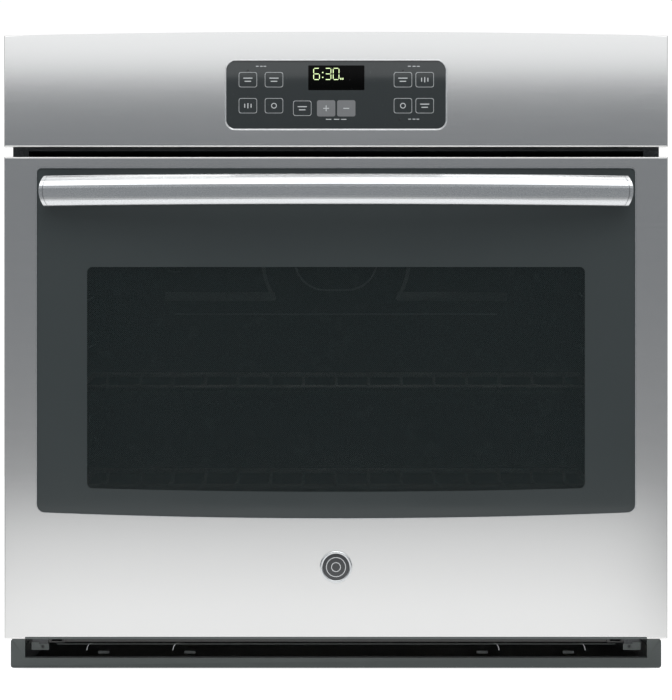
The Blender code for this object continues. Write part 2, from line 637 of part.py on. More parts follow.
# ---- door -------------------------------------------------------------------------------------------
def door_shell(hinge):
    """The stainless skin, the enamelled liner, the panes and the blanket between them."""
    front, back = behind(-FRONT), behind(-DOOR_BACK)
    box = [(HALF, DOOR_LOW), (HALF, DOOR_HIGH), (-HALF, DOOR_HIGH), (-HALF, DOOR_LOW)]
    skin = prism("door_skin", box, (front, back), edge=0.0016)
    inside = (DOOR_LOW + SHEET, DOOR_HIGH - SHEET)
    cut(skin, block("inside", both_ways(HALF - SHEET), (front + SHEET, back + 0.02), inside))
    clear = 0.001
    wedge = [
        (front - clear, DOOR_LOW - clear),
        (front - clear, DOOR_LOW + HEM_TALL),
        (front, DOOR_LOW + HEM_TALL),
        (front + HEM_DEEP * (1 + clear / HEM_TALL), DOOR_LOW - clear),
    ]
    cut(skin, prism("hem", wedge, both_ways(HEM_HALF), axis="X"))
    window = hanging_window(GLASS_HALF, GLASS_LOW, GLASS_HIGH, GLASS_ARC, 0.006, 0.010)
    cut(skin, prism("window", window, (front - 0.01, front + 0.01)))
    for side in (-1, 1):
        x = sorted((side * HINGE_X - 0.0065, side * HINGE_X + 0.0065))
        cut(skin, block("arm_notch", x, (behind(-0.031), back + 0.01), (DOOR_LOW - 0.01, DOOR_LOW + 0.01)))
        bolt = (side * BOLT_X, front, HANDLE_Z)
        cut(skin, cylinder("bolt_hole", bolt, "Y", 0.0035, 0.01, 16))
    finish(skin, "stainless")

    outer = block(
        "door_outer_glass",
        both_ways(0.349),
        (front + 0.0015, front + 0.0055),
        (0.166, 0.5805),
    )
    for side in (-1, 1):
        cut(outer, cylinder("bolt_hole", (side * BOLT_X, front + 0.004, HANDLE_Z), "Y", 0.0035, 0.02, 16))
    finish(outer, "black_glass")

    view = (both_ways(VIEW_HALF), (VIEW_LOW, VIEW_HIGH))
    spacer = block("glass_retainer", both_ways(0.296), (behind(-0.0361), behind(-0.0280)), (0.192, 0.474))
    cut(spacer, block("view", view[0], (behind(-0.05), behind(0)), view[1]))
    finish(spacer, "galvanised")
    middle = block("door_middle_glass", both_ways(0.294), (behind(-0.0276), behind(-0.0241)), (0.194, 0.472))
    finish(middle, "clear_glass")
    pane = block("door_inner_glass", both_ways(0.292), (behind(-0.0080), behind(-0.0040)), (0.196, 0.470))
    finish(pane, "clear_glass")

    plate = (behind(-0.0132), behind(-0.0120))
    liner = block("door_liner", both_ways(0.3755), plate, (0.058, 0.582), bevel=0.006)
    bulge = rounded(both_ways(0.2962), (0.0868, 0.5312), 0.014)
    fuse(liner, prism("bulge", bulge, (behind(-0.0131), behind(-0.0024))))
    pocket = rounded(both_ways(0.2950), (0.0880, 0.5300), 0.013)
    cut(liner, prism("pocket", pocket, (behind(-0.02), behind(-0.0036))))
    cut(liner, prism("view", rounded(*view, 0.008), (behind(-0.02), behind(0.01))))
    finish(liner, "enamel")

    filling = (behind(-0.0350), behind(-0.0137))
    blanket = block("door_insulation", both_ways(0.3080), filling, (0.068, 0.560))
    cut(blanket, block("room", both_ways(0.2970), (behind(-0.05), behind(0)), (0.1905, 0.4755)))
    finish(blanket, "fibreglass")

    rail = (behind(-0.0352), behind(-0.0160))
    channel = block("door_top_channel", both_ways(0.352), rail, (0.5735, 0.5828))
    cut(channel, block("room", both_ways(0.3508), (behind(-0.0340), behind(-0.0172)), (0.56, 0.5816)))
    for i in range(9):
        x = -0.288 + 0.072 * i
        cut(channel, block("slot", (x - 0.025, x + 0.025), (behind(-0.0290), behind(-0.0225)), (0.575, 0.59)))
    finish(channel, "black_paint")

    badge = cylinder("badge", (0, front - 0.0013, 0.1176), "Y", 0.0185, 0.0020, 48)
    finish(smooth(badge), "bright_steel")
    attach(hinge, skin, outer, spacer, middle, pane, liner, blanket, channel, badge)


def handle_section(steps=8, flats=4):
    """The bar's front, top to bottom, and its nearly flat rear at the same heights, as (forward, up) points
    about the bar's centre. The front is a large round, a flat band below the middle and a small round."""
    half = HANDLE_TALL / 2
    nose = HANDLE_THICK / 2
    deep = HANDLE_THICK - HANDLE_REAR_CROWN
    front = []
    for i in range(steps + 1):
        angle = math.radians(90 - 90 * i / steps)
        up = HANDLE_BAND_TOP + (half - HANDLE_BAND_TOP) * math.sin(angle)
        front.append((nose - deep + deep * math.cos(angle), up))
    for i in range(1, flats):
        front.append((nose, HANDLE_BAND_TOP + (HANDLE_BAND_LOW - HANDLE_BAND_TOP) * i / flats))
    for i in range(steps + 1):
        angle = math.radians(90 * i / steps)
        up = HANDLE_BAND_LOW - (half + HANDLE_BAND_LOW) * math.sin(angle)
        front.append((nose - HANDLE_NOSE * (1 - math.cos(angle)), up))
    rear = [(HANDLE_REAR_CROWN * (up / half) ** 2 - nose, up) for forward, up in front[1:]]
    return front, rear


def handle_y(x):
    """Y of the bar's centre line, which bows forward."""
    return behind(-REACH) + HANDLE_THICK / 2 + HANDLE_BOW * (x / HANDLE_HALF) ** 2


def handle_loft(name, stations):
    """Skins the bar's section along X. Its rings bulge outwards towards the ends."""
    front, rear = handle_section()
    section = front + rear[::-1]
    bm = bmesh.new()
    rings = []
    for x in stations:
        ring = []
        rise = HANDLE_RISE * (1 - (x / HANDLE_HALF) ** 2)
        for forward, up in section:
            share = 1 - (2 * up / HANDLE_TALL) ** 2
            along = x + math.copysign(HANDLE_END_ARC, x) * share * min(1, abs(x) / 0.3) ** 6
            ring.append(bm.verts.new((along, handle_y(x) - forward, HANDLE_Z + rise + up)))
        rings.append(ring)
    count = len(section)
    for a, b in zip(rings, rings[1:]):
        for k in range(count):
            n = (k + 1) % count
            bm.faces.new((a[k], a[n], b[n], b[k]))
    for ring in (rings[0], rings[-1]):
        for k in range(len(front) - 1):
            corners = (ring[k], ring[k + 1], ring[count - k - 1], ring[-k])
            bm.faces.new(list(dict.fromkeys(corners)))
    return add(name, bm, (sum(stations) / len(stations), handle_y(0), HANDLE_Z))


def handle(hinge):
    """The bowed bar, and an end piece at each side whose post carries it off the door."""
    corner = HANDLE_HALF - HANDLE_END_ARC
    reach = corner - HANDLE_CAP
    stations = [-reach + 2 * reach * i / 16 for i in range(17)]
    bar = finish(smooth(handle_loft("handle_bar", stations)), "bright_steel")
    attach(hinge, bar)
    door = behind(-FRONT)
    rear = handle_y(HANDLE_HALF) + HANDLE_THICK / 2
    for side, name in ((-1, "left"), (1, "right")):
        ends = sorted((side * (corner - HANDLE_CAP + GAP), side * corner))
        end = handle_loft("handle_end_" + name, ends)
        post_z = (HANDLE_Z - POST_TALL / 2, HANDLE_Z + POST_TALL / 2)
        foot_z = (HANDLE_Z - FOOT_TALL / 2, HANDLE_Z + FOOT_TALL / 2)
        web_x = sorted((side * (HANDLE_HALF - 0.0037), side * (HANDLE_HALF - 0.0014)))
        web = block("web", web_x, (rear - 0.0080, rear + 0.0040), (HANDLE_Z - 0.0055, HANDLE_Z + 0.0055))
        post_x = sorted((side * (HANDLE_HALF - 0.0241), side * (HANDLE_HALF - 0.0012)))
        post = block("post", post_x, (rear + 0.0006, door - 0.0012), post_z)
        foot_x = sorted((side * (HANDLE_HALF - 0.0271), side * (HANDLE_HALF - 0.0008)))
        foot = block("foot", foot_x, (door - 0.0024, door - 0.0004), foot_z)
        fuse(end, fuse(post, web, foot))
        cut(end, cylinder("thread", (side * BOLT_X, door - 0.0045, HANDLE_Z), "Y", 0.0028, 0.013, 12))
        finish(smooth(end), "bright_steel")
        at = (side * BOLT_X, door + 0.0005, HANDLE_Z)
        screw = cylinder("handle_screw_" + name, at, "Y", 0.0024, 0.0150, 12)
        fuse(screw, cylinder("head", (side * BOLT_X, door + 0.0075, HANDLE_Z), "Y", 0.0050, 0.0030, 16))
        finish(smooth(screw), "galvanised")
        attach(hinge, end, screw)


def helix(centre, radius, low, high, turns, per_turn):
    """Points of a coil about a vertical line."""
    count = turns * per_turn
    points = []
    for i in range(count + 1):
        angle = 2 * math.pi * i / per_turn
        z = low + (high - low) * i / count
        points.append((centre[0] + radius * math.cos(angle), centre[1] + radius * math.sin(angle), z))
    return points


def door_hinge(side, name, hinge):
    """One hinge: arm and receiver on the chassis; channel, pin, spring and pull rod in the door."""
    x = side * HINGE_X
    pin_y = behind(-HINGE_FORWARD)
    arm_x = (x - 0.0015, x + 0.0015)
    arm = block("hinge_arm_" + name, arm_x, (pin_y, behind(0.046)), (HINGE_Z - 0.006, HINGE_Z + 0.006))
    fuse(arm, cylinder("boss", (x, pin_y, HINGE_Z), "X", 0.0062, 0.003, 20))
    fuse(arm, block("hook", arm_x, (behind(0.034), behind(0.046)), (HINGE_Z - 0.012, HINGE_Z)))
    cut(arm, cylinder("eye", (x, pin_y, HINGE_Z), "X", 0.0034, 0.01, 16))
    finish(arm, "spring_steel")

    wide = 0.0095
    reach = (behind(GAP), behind(0.062))
    pocket = block("hinge_receiver_" + name, (x - wide, x + wide), reach, (0.0295, 0.0590))
    cut(pocket, block("room", (x - 0.006, x + 0.006), (behind(-0.01), behind(0.0605)), (0.0310, 0.0575)))
    finish(pocket, "galvanised")

    low, high = 0.0375, 0.250
    deep = (behind(-0.0360), behind(-0.0145))
    body = block("hinge_channel_" + name, (x - wide, x + wide), deep, (low, high))
    room = (low - 0.01, high + 0.01)
    cut(body, block("room", (x - 0.0080, x + 0.0080), (behind(-0.0345), behind(0)), room))
    seat_y = (behind(-0.0346), behind(-0.0165))
    fuse(body, block("seat", (x - 0.0082, x + 0.0082), seat_y, (0.0960, 0.0980)))
    centre = (x, behind(-0.0262))
    cut(body, cylinder("rod_hole", (*centre, 0.0970), "Z", 0.0030, 0.02, 12))
    cut(body, cylinder("pin_hole", (x, pin_y, HINGE_Z), "X", 0.0034, 0.04, 16))
    finish(body, "galvanised")

    pin = cylinder("hinge_pin_" + name, (x, pin_y, HINGE_Z), "X", 0.0030, 0.0200, 16)
    for end in (-1, 1):
        fuse(pin, cylinder("head", (x + end * 0.0104, pin_y, HINGE_Z), "X", 0.0048, 0.0012, 16))
    finish(smooth(pin), "spring_steel")

    rod = cylinder("hinge_rod_" + name, (*centre, 0.1470), "Z", 0.0024, 0.1260, 12)
    fuse(rod, cylinder("cap", (*centre, 0.2070), "Z", 0.0068, 0.0030, 16))
    finish(smooth(rod), "spring_steel")
    spring = tube("hinge_spring_" + name, helix(centre, 0.0048, 0.0995, 0.2040, 9, 8), 0.0011, sides=4)
    finish(smooth(spring), "spring_steel")

    slide = pivot("hinge_rod_slide_" + name, (*centre, 0.147))
    attach(slide, rod)
    attach(hinge, body, pin, spring, slide)


def build():
    for obj in list(bpy.data.objects):
        bpy.data.objects.remove(obj)
    chassis_panels()
    front_frame()
    bottom_trim()
    cavity()
    door_gasket()
    heating_elements()
    lamp_and_probe()
    for name, z in RACK_HEIGHTS.items():
        rack(name, z, pivot(name + "_slide", (0, behind(RACK_FRONT), z)))
    control_panel()
    air_system()
    supply()
    light_switch()
    hinge = pivot("door_hinge_axis", (0, behind(-HINGE_FORWARD), HINGE_Z))
    door_shell(hinge)
    handle(hinge)
    for side, name in ((-1, "left"), (1, "right")):
        door_hinge(side, name, hinge)


build()
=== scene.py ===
"""Looks, small fittings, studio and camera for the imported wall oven. Metres, +Z up, front facing -Y."""

import json
import math

import bmesh
import bpy
from mathutils import Matrix, Vector


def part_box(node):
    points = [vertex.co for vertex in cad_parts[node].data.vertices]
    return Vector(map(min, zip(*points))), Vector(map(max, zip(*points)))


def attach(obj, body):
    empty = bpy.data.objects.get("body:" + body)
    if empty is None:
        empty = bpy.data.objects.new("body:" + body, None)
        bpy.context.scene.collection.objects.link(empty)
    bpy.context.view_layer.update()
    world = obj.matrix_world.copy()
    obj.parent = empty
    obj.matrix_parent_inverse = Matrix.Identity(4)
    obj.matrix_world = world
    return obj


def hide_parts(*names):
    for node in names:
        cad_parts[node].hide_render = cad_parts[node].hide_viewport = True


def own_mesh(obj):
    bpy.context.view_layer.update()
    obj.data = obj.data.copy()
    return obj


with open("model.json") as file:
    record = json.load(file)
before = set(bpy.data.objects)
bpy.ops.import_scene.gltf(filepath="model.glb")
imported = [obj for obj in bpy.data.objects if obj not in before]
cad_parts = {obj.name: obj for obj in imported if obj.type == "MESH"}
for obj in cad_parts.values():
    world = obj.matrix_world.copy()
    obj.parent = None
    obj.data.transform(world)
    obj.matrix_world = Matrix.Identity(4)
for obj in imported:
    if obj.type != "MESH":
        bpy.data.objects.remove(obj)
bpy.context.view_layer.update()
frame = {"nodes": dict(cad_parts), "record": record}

# ---- places read from the frame ---------------------------------------------------------------------
SKIN_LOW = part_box("door_skin")[0]
PANEL_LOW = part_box("control_panel")[0]
TOUCH_LOW, TOUCH_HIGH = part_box("control_glass")
BADGE_LOW, BADGE_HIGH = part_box("badge")
BACK_LOW, BACK_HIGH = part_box("back_panel")
SIDE_LOW, SIDE_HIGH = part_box("side_panel_right")
LINER_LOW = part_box("door_liner")[0]
CAVITY_LOW, CAVITY_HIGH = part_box("cavity_liner")
FRAME_LOW, FRAME_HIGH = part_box("front_frame")

FRONT_Y = SKIN_LOW.y
EYE_Z = 0.3646
EYE_DISTANCE = 6.0
LENS_MM = 271.1

# see-through part of the door's window, printed on the outer pane
WINDOW_HALF, WINDOW_TOP, WINDOW_SIDE_LOW, WINDOW_SAG, WINDOW_CORNER = 0.2834, 0.4592, 0.2073, 0.0041, 0.006
DOT_PITCH, DOT_RADIUS = 0.0022, 0.00031
SEE_THROUGH = 0.60


# ---- node trees -------------------------------------------------------------------------------------
class Look:
    """A material under construction: a Principled shader and short ways to add nodes in front of it."""

    def __init__(self, name, colour, roughness, metallic=0.0):
        self.material = bpy.data.materials.new(name)
        self.material.use_nodes = True
        self.tree = self.material.node_tree
        self.shader = self.tree.nodes["Principled BSDF"]
        self.shader.inputs["Base Color"].default_value = (*colour, 1)
        self.shader.inputs["Roughness"].default_value = roughness
        self.shader.inputs["Metallic"].default_value = metallic
        self.place = self.tree.nodes.new("ShaderNodeTexCoord").outputs["Object"]

    def add(self, kind, values=(), **settings):
        """A node with its settings, whose inputs take numbers, tuples or the outputs of other nodes."""
        node = self.tree.nodes.new(kind)
        for key, value in settings.items():
            setattr(node, key, value)
        for key, value in dict(values).items():
            if isinstance(value, bpy.types.NodeSocket):
                self.tree.links.new(value, node.inputs[key])
            else:
                node.inputs[key].default_value = value
        return node

    def math(self, operation, a, b=0.0, c=0.0):
        return self.add("ShaderNodeMath", {0: a, 1: b, 2: c}, operation=operation).outputs[0]

    def stretch(self, scale):
        return self.add("ShaderNodeMapping", {"Vector": self.place, "Scale": scale}).outputs[0]

    def noise(self, scale, detail=3.0, vector=None):
        values = {"Vector": vector or self.place, "Scale": scale, "Detail": detail}
        return self.add("ShaderNodeTexNoise", values).outputs[0]

    def spread(self, value, low, high, start=0.3, end=0.7):
        """Maps a texture's usual range to low..high."""
        values = {0: value, 1: start, 2: end, 3: low, 4: high}
        return self.add("ShaderNodeMapRange", values).outputs[0]

    def blend(self, factor, a, b):
        values = {0: factor, 6: a, 7: b}
        return self.add("ShaderNodeMix", values, data_type="RGBA").outputs[2]

    def colour(self, factor, a, b):
        self.tree.links.new(self.blend(factor, (*a, 1), (*b, 1)), self.shader.inputs["Base Color"])

    def roughness(self, value, low, high):
        self.tree.links.new(self.spread(value, low, high), self.shader.inputs["Roughness"])

    def bump(self, height, distance, strength=1.0):
        values = {"Height": height, "Distance": distance, "Strength": strength}
        self.tree.links.new(self.add("ShaderNodeBump", values).outputs[0], self.shader.inputs["Normal"])

    def set(self, **sockets):
        for key, value in sockets.items():
            self.shader.inputs[key.replace("_", " ")].default_value = value
        return self


def steel(name, light, dark, rough, grain=(10.0, 1150.0, 1150.0)):
    """Brushed stainless: fine grain along X, faint handling marks, and a little colour drift."""
    look = Look(name, light, rough, 1.0)
    lines = look.noise(1.0, 2.0, look.stretch(grain))
    fine = look.noise(1.0, 2.0, look.stretch(tuple(4.3 * s for s in grain)))
    both = look.math("MULTIPLY_ADD", fine, 0.6, look.math("MULTIPLY", lines, 0.4))
    cloud = look.noise(2.6, 3.0)
    look.colour(look.math("MULTIPLY_ADD", cloud, 0.20, look.math("MULTIPLY", both, 0.80)), dark, light)
    look.roughness(both, rough * 0.92, rough * 1.08)
    look.bump(both, 0.00001, 0.25)
    return look.material


def sheet_zinc(name="galvanised_sheet"):
    """Zinc-coated steel: flat crystals of slightly different brightness."""
    look = Look(name, (0.5, 0.52, 0.53), 0.42, 1.0)
    cells = look.add("ShaderNodeTexVoronoi", {"Vector": look.place, "Scale": 130.0}).outputs["Color"]
    tone = look.add("ShaderNodeSeparateColor", {0: cells}).outputs[0]
    dust = look.noise(14.0, 5.0)
    mixed = look.math("MULTIPLY_ADD", tone, 0.6, look.math("MULTIPLY", dust, 0.4))
    look.colour(look.spread(mixed, 0, 1, 0.10, 0.90), (0.33, 0.345, 0.355), (0.45, 0.465, 0.475))
    look.roughness(tone, 0.36, 0.54)
    look.bump(look.noise(60.0, 4.0), 0.0002, 0.2)
    return look.material


def paint(name, colour, wear_and_highlight, rough, grain=900.0):
    """Powder-coated sheet: a fine texture, with the coat thinner and lighter along the edges; also the
    cavity's raised lines, whose light grey is a painted highlight.
    """
    look = Look(name, colour, rough)
    pointed = look.add("ShaderNodeNewGeometry").outputs["Pointiness"]
    edge = look.spread(pointed, 0.0, 1.0, 0.53, 0.60)
    dirt = look.spread(look.noise(30.0, 4.0), 0.0, 0.35)
    look.colour(look.math("MAXIMUM", edge, dirt), colour, wear_and_highlight)
    speckle = look.noise(grain, 2.0)
    look.roughness(speckle, rough - 0.07, rough + 0.08)
    look.bump(speckle, 0.00006, 0.5)
    return look.material


def enamel(name="porcelain_enamel"):
    """Dark vitreous enamel with pale flecks and a faint orange peel."""
    look = Look(name, (0.022, 0.026, 0.030), 0.2)
    fleck = look.spread(look.noise(1100.0, 1.0), 0.0, 1.0, 0.66, 0.72)
    cloud = look.spread(look.noise(6.0, 3.0), 0.0, 0.12)
    look.colour(look.math("MAXIMUM", fleck, cloud), (0.020, 0.024, 0.028), (0.12, 0.13, 0.14))
    look.roughness(look.noise(45.0, 3.0), 0.14, 0.30)
    look.bump(look.noise(260.0, 2.0), 0.0001, 0.25)
    return look.material


def window_glass(name="black_window_glass"):
    """The outer pane: a dark print around a see-through area, which carries a grid of fine black dots."""
    look = Look(name, (0.036, 0.041, 0.042), 0.06).set(Specular_IOR_Level=0.38)
    axes = look.add("ShaderNodeSeparateXYZ", {0: look.place}).outputs
    x, z = axes[0], axes[2]
    share = look.math("DIVIDE", x, WINDOW_HALF)
    sag = look.math("MULTIPLY", look.math("MULTIPLY", share, share), WINDOW_SAG)
    floor = look.math("ADD", sag, WINDOW_SIDE_LOW - WINDOW_SAG)
    middle = (WINDOW_TOP + WINDOW_SIDE_LOW) / 2
    below = look.math("SUBTRACT", look.math("ADD", floor, WINDOW_CORNER), z)
    above = look.math("SUBTRACT", z, WINDOW_TOP - WINDOW_CORNER)
    beside = look.math("SUBTRACT", look.math("ABSOLUTE", x), WINDOW_HALF - WINDOW_CORNER)
    out_z = look.math("MAXIMUM", look.math("MAXIMUM", below, above), 0.0)
    out_x = look.math("MAXIMUM", beside, 0.0)
    squares = look.math("ADD", look.math("MULTIPLY", out_x, out_x), look.math("MULTIPLY", out_z, out_z))
    inside = look.math("LESS_THAN", look.math("SQRT", squares), WINDOW_CORNER)

    def wave(socket, shift):
        cell = look.math("DIVIDE", socket, DOT_PITCH)
        part = look.math("FRACT", look.math("ADD", cell, shift))
        offset = look.math("SUBTRACT", part, 0.5)
        return look.math("MULTIPLY", offset, offset)

    reach = (DOT_RADIUS / DOT_PITCH) ** 2
    first = look.math("LESS_THAN", look.math("ADD", wave(x, 100.0), wave(z, middle)), reach)
    second = look.math("LESS_THAN", look.math("ADD", wave(x, 100.5), wave(z, middle + 0.5)), reach)
    dots = look.math("MAXIMUM", first, second)
    see = look.math("MULTIPLY", inside, look.math("SUBTRACT", 1.0, dots))
    look.tree.links.new(look.math("MULTIPLY_ADD", see, -SEE_THROUGH, 1.0), look.shader.inputs["Alpha"])
    smear = look.noise(7.0, 4.0)
    tint = look.blend(smear, (0.032, 0.039, 0.040, 1), (0.037, 0.044, 0.045, 1))
    dark = look.blend(see, tint, (0.002, 0.007, 0.007, 1))
    look.tree.links.new(dark, look.shader.inputs["Base Color"])
    look.roughness(smear, 0.04, 0.09)
    return look.material


def pane(name, colour, alpha, rough=0.03):
    """Thin clear glass with faint smears."""
    look = Look(name, colour, rough)
    look.set(Alpha=alpha)
    smear = look.noise(9.0, 5.0)
    look.roughness(smear, rough, rough + 0.05)
    look.colour(smear, colour, tuple(0.9 * c for c in colour))
    return look.material


def gloss_black(name, colour, rough):
    """Black glass or lacquer: almost no texture but for fine dust and smears."""
    look = Look(name, colour, rough)
    dust = look.spread(look.noise(420.0, 2.0), 0.0, 1.0, 0.70, 0.78)
    look.colour(look.math("MULTIPLY", dust, 0.07), colour, (0.30, 0.31, 0.31))
    look.roughness(look.noise(8.0, 4.0), rough, rough + 0.05)
    return look.material


def moulded(name, colour, rough):
    """Moulded plastic with a fine spark-eroded grain."""
    look = Look(name, colour, rough)
    grain = look.noise(1500.0, 2.0)
    look.colour(grain, tuple(0.8 * c for c in colour), tuple(1.25 * c for c in colour))
    look.roughness(grain, rough - 0.08, rough + 0.08)
    look.bump(grain, 0.00005, 0.5)
    return look.material


def wool(name, colour):
    """Glass wool: matted fibres."""
    look = Look(name, colour, 0.95)
    fibres = look.noise(1.0, 6.0, look.stretch((60.0, 420.0, 420.0)))
    look.colour(fibres, tuple(0.6 * c for c in colour), tuple(min(1, 1.2 * c) for c in colour))
    look.bump(fibres, 0.002, 0.9)
    look.set(Sheen_Weight=0.3)
    return look.material


WEAVE_RATE = 2600.0


def braid(name="gasket_braid"):
    """Woven glass-fibre rope: crossed diagonal strands."""
    look = Look(name, (0.10, 0.10, 0.095), 0.9)
    axes = look.add("ShaderNodeSeparateXYZ", {0: look.place}).outputs
    across = look.math("ADD", axes[0], axes[2])
    counter = look.math("SUBTRACT", axes[0], axes[2])
    first = look.math("SINE", look.math("MULTIPLY", across, WEAVE_RATE))
    second = look.math("SINE", look.math("MULTIPLY", counter, WEAVE_RATE))
    weave = look.math("MULTIPLY_ADD", look.math("MAXIMUM", first, second), 0.5, 0.5)
    look.colour(weave, (0.045, 0.045, 0.043), (0.19, 0.19, 0.18))
    look.bump(weave, 0.0006, 0.9)
    return look.material


def oxidised(name, colour, burnt, rough, metallic):
    """Metal that heat has dulled in patches."""
    look = Look(name, colour, rough, metallic)
    patches = look.noise(38.0, 5.0)
    look.colour(look.spread(patches, 0, 1), colour, burnt)
    look.roughness(look.noise(160.0, 3.0), rough - 0.08, rough + 0.12)
    look.bump(look.noise(900.0, 2.0), 0.00008, 0.4)
    return look.material


def board(name="circuit_laminate"):
    """Green solder mask over copper tracks."""
    look = Look(name, (0.015, 0.11, 0.045), 0.4)
    values = {"Vector": look.place, "Scale": 240.0, "Mortar Size": 0.06}
    tracks = look.add("ShaderNodeTexBrick", values).outputs["Fac"]
    look.colour(tracks, (0.012, 0.085, 0.035), (0.05, 0.22, 0.08))
    look.roughness(look.noise(300.0, 2.0), 0.30, 0.50)
    look.bump(tracks, 0.0001, 0.4)
    return look.material


def fired_clay(name="steatite"):
    """Unglazed ceramic: pale and slightly grainy."""
    look = Look(name, (0.72, 0.70, 0.66), 0.45)
    grain = look.noise(320.0, 4.0)
    look.colour(grain, (0.64, 0.62, 0.57), (0.78, 0.76, 0.72))
    look.roughness(grain, 0.35, 0.6)
    look.bump(grain, 0.0001, 0.4)
    return look.material


def glow(name, colour, strength):
    """A lit segment with a fine mottled tone, like a vacuum-fluorescent cell."""
    look = Look(name, colour, 0.4)
    mesh = look.noise(2500.0, 1.0)
    tone = look.blend(mesh, (*colour, 1), (*(0.82 * c for c in colour), 1))
    look.tree.links.new(tone, look.shader.inputs["Emission Color"])
    look.set(Emission_Strength=strength)
    return look.material


def ink(name, colour):
    """Screen-printed ink with a slightly uneven film."""
    look = Look(name, colour, 0.5)
    film = look.noise(1800.0, 2.0)
    look.colour(film, tuple(0.85 * c for c in colour), colour)
    look.roughness(film, 0.4, 0.6)
    return look.material


LOOKS = {
    "stainless": steel("brushed_stainless", (0.668, 0.668, 0.662), (0.592, 0.592, 0.588), 0.20),
    "bright_steel": steel("satin_handle_steel", (0.590, 0.604, 0.614), (0.574, 0.588, 0.598), 0.27,
                          (6.0, 2600.0, 2600.0)),
    "galvanised": sheet_zinc(),
    "spring_steel": oxidised("oiled_spring_steel", (0.30, 0.30, 0.31), (0.19, 0.18, 0.18), 0.35, 1.0),
    "grey_paint": paint("grey_powder_coat", (0.040, 0.048, 0.047), (0.080, 0.092, 0.090), 0.45),
    "black_paint": paint("black_powder_coat", (0.012, 0.013, 0.013), (0.05, 0.05, 0.05), 0.50),
    "enamel": enamel(),
    "black_glass": gloss_black("touch_glass", (0.021, 0.025, 0.026), 0.05),
    "clear_glass": pane("clear_pane", (0.12, 0.14, 0.14), 0.10),
    "frosted_glass": pane("frosted_bulb", (0.85, 0.86, 0.84), 0.80, 0.30),
    "nickel": oxidised("nickel_wire", (0.72, 0.71, 0.69), (0.60, 0.57, 0.53), 0.38, 0.65),
    "element_sheath": oxidised("element_sheath", (0.075, 0.070, 0.068), (0.030, 0.028, 0.030), 0.55, 0.4),
    "fibreglass": wool("glass_wool", (0.62, 0.58, 0.46)),
    "gasket_braid": braid(),
    "circuit_green": board(),
    "moulded_black": moulded("black_moulding", (0.014, 0.014, 0.015), 0.50),
    "ceramic": fired_clay(),
}


def dress_nodes():
    """Gives each CAD node the look of its slot; the door's outer pane differs, and the receivers are painted
    black as painted shade.
    """
    for part in frame["record"]["subparts"]:
        material = LOOKS[part["material_slot"]]
        if part["node"] == "door_outer_glass":
            material = window_glass()
        # the hinge receivers take black paint instead of their slot's look: painted shade for the shadow
        # they sit in under the door
        if part["node"].startswith("hinge_receiver"):
            material = LOOKS["black_paint"]
        mesh = frame["nodes"][part["node"]].data
        mesh.materials.clear()
        mesh.materials.append(material)


# ---- small pieces -----------------------------------------------------------------------------------
def piece(name, bm, material, body, smooth=True):
    """A mesh that rides on a body."""
    bmesh.ops.recalc_face_normals(bm, faces=bm.faces)
    mesh = bpy.data.meshes.new(name)
    bm.to_mesh(mesh)
    bm.free()
    if smooth:
        mesh.shade_smooth()
        mesh.set_sharp_from_angle(angle=math.radians(35))
    mesh.materials.append(material)
    obj = bpy.data.objects.new(name, mesh)
    bpy.context.scene.collection.objects.link(obj)
    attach(obj, body)
    return obj


def add_box(bm, centre, size, bevel=0.0):
    """A box in an open bmesh, with its edges rounded."""
    made = bmesh.ops.create_cube(bm, size=1)["verts"]
    bmesh.ops.scale(bm, vec=size, verts=made)
    bmesh.ops.translate(bm, vec=centre, verts=made)
    if bevel:
        edges = list({e for v in made for e in v.link_edges})
        bmesh.ops.bevel(bm, geom=edges, offset=bevel, segments=2, profile=0.5, affect="EDGES")


def bridge(bm, loops):
    """Faces from each loop of vertices to the next, and from the last back to the first."""
    for a, b in zip(loops, loops[1:] + loops[:1]):
        for i in range(len(a)):
            j = (i + 1) % len(a)
            bm.faces.new((a[i], a[j], b[j], b[i]))


def add_slab(bm, outline, y, thick):
    """A flat piece with this outline of (x, z) points, raised off the plane y."""
    near = [bm.verts.new((x, y - thick, z)) for x, z in outline]
    far = [bm.verts.new((x, y, z)) for x, z in outline]
    bm.faces.new(near)
    bm.faces.new(list(reversed(far)))
    for i in range(len(outline)):
        j = (i + 1) % len(outline)
        bm.faces.new((far[i], far[j], near[j], near[i]))


def add_ring(bm, outline, width, y, thick):
    """A closed strip of the given width inside an outline of (x, z) points, raised off the plane y."""
    count = len(outline)
    cx = sum(p[0] for p in outline) / count
    cz = sum(p[1] for p in outline) / count
    spread_x = max(p[0] for p in outline) - cx
    spread_z = max(p[1] for p in outline) - cz
    shrink = ((spread_x - width) / spread_x, (spread_z - width) / spread_z)
    inner = [(cx + (x - cx) * shrink[0], cz + (z - cz) * shrink[1]) for x, z in outline]
    loops = []
    for points, depth in ((outline, y), (outline, y - thick), (inner, y - thick), (inner, y)):
        loops.append([bm.verts.new((x, depth, z)) for x, z in points])
    bridge(bm, loops)


def arc(centre, radius, start, steps):
    """Points of a quarter circle that begins at this angle in degrees."""
    points = []
    for i in range(steps + 1):
        angle = math.radians(start + 90 * i / steps)
        points.append((centre[0] + radius * math.cos(angle), centre[1] + radius * math.sin(angle)))
    return points


def rounded(centre, size, radius, steps=4):
    """Outline of a rectangle with round corners."""
    points = []
    for sx, sz, start in ((1, 1, 0), (-1, 1, 90), (-1, -1, 180), (1, -1, 270)):
        corner = (centre[0] + sx * (size[0] / 2 - radius), centre[1] + sz * (size[1] / 2 - radius))
        points += arc(corner, radius, start, steps)
    return points


# where a disc's profile bends, as shares of its thickness, radius, radius and dome
DISC_SHOULDER, DISC_FACE, DISC_MIDDLE, DISC_CROWN = 0.6, 0.90, 0.45, 0.7


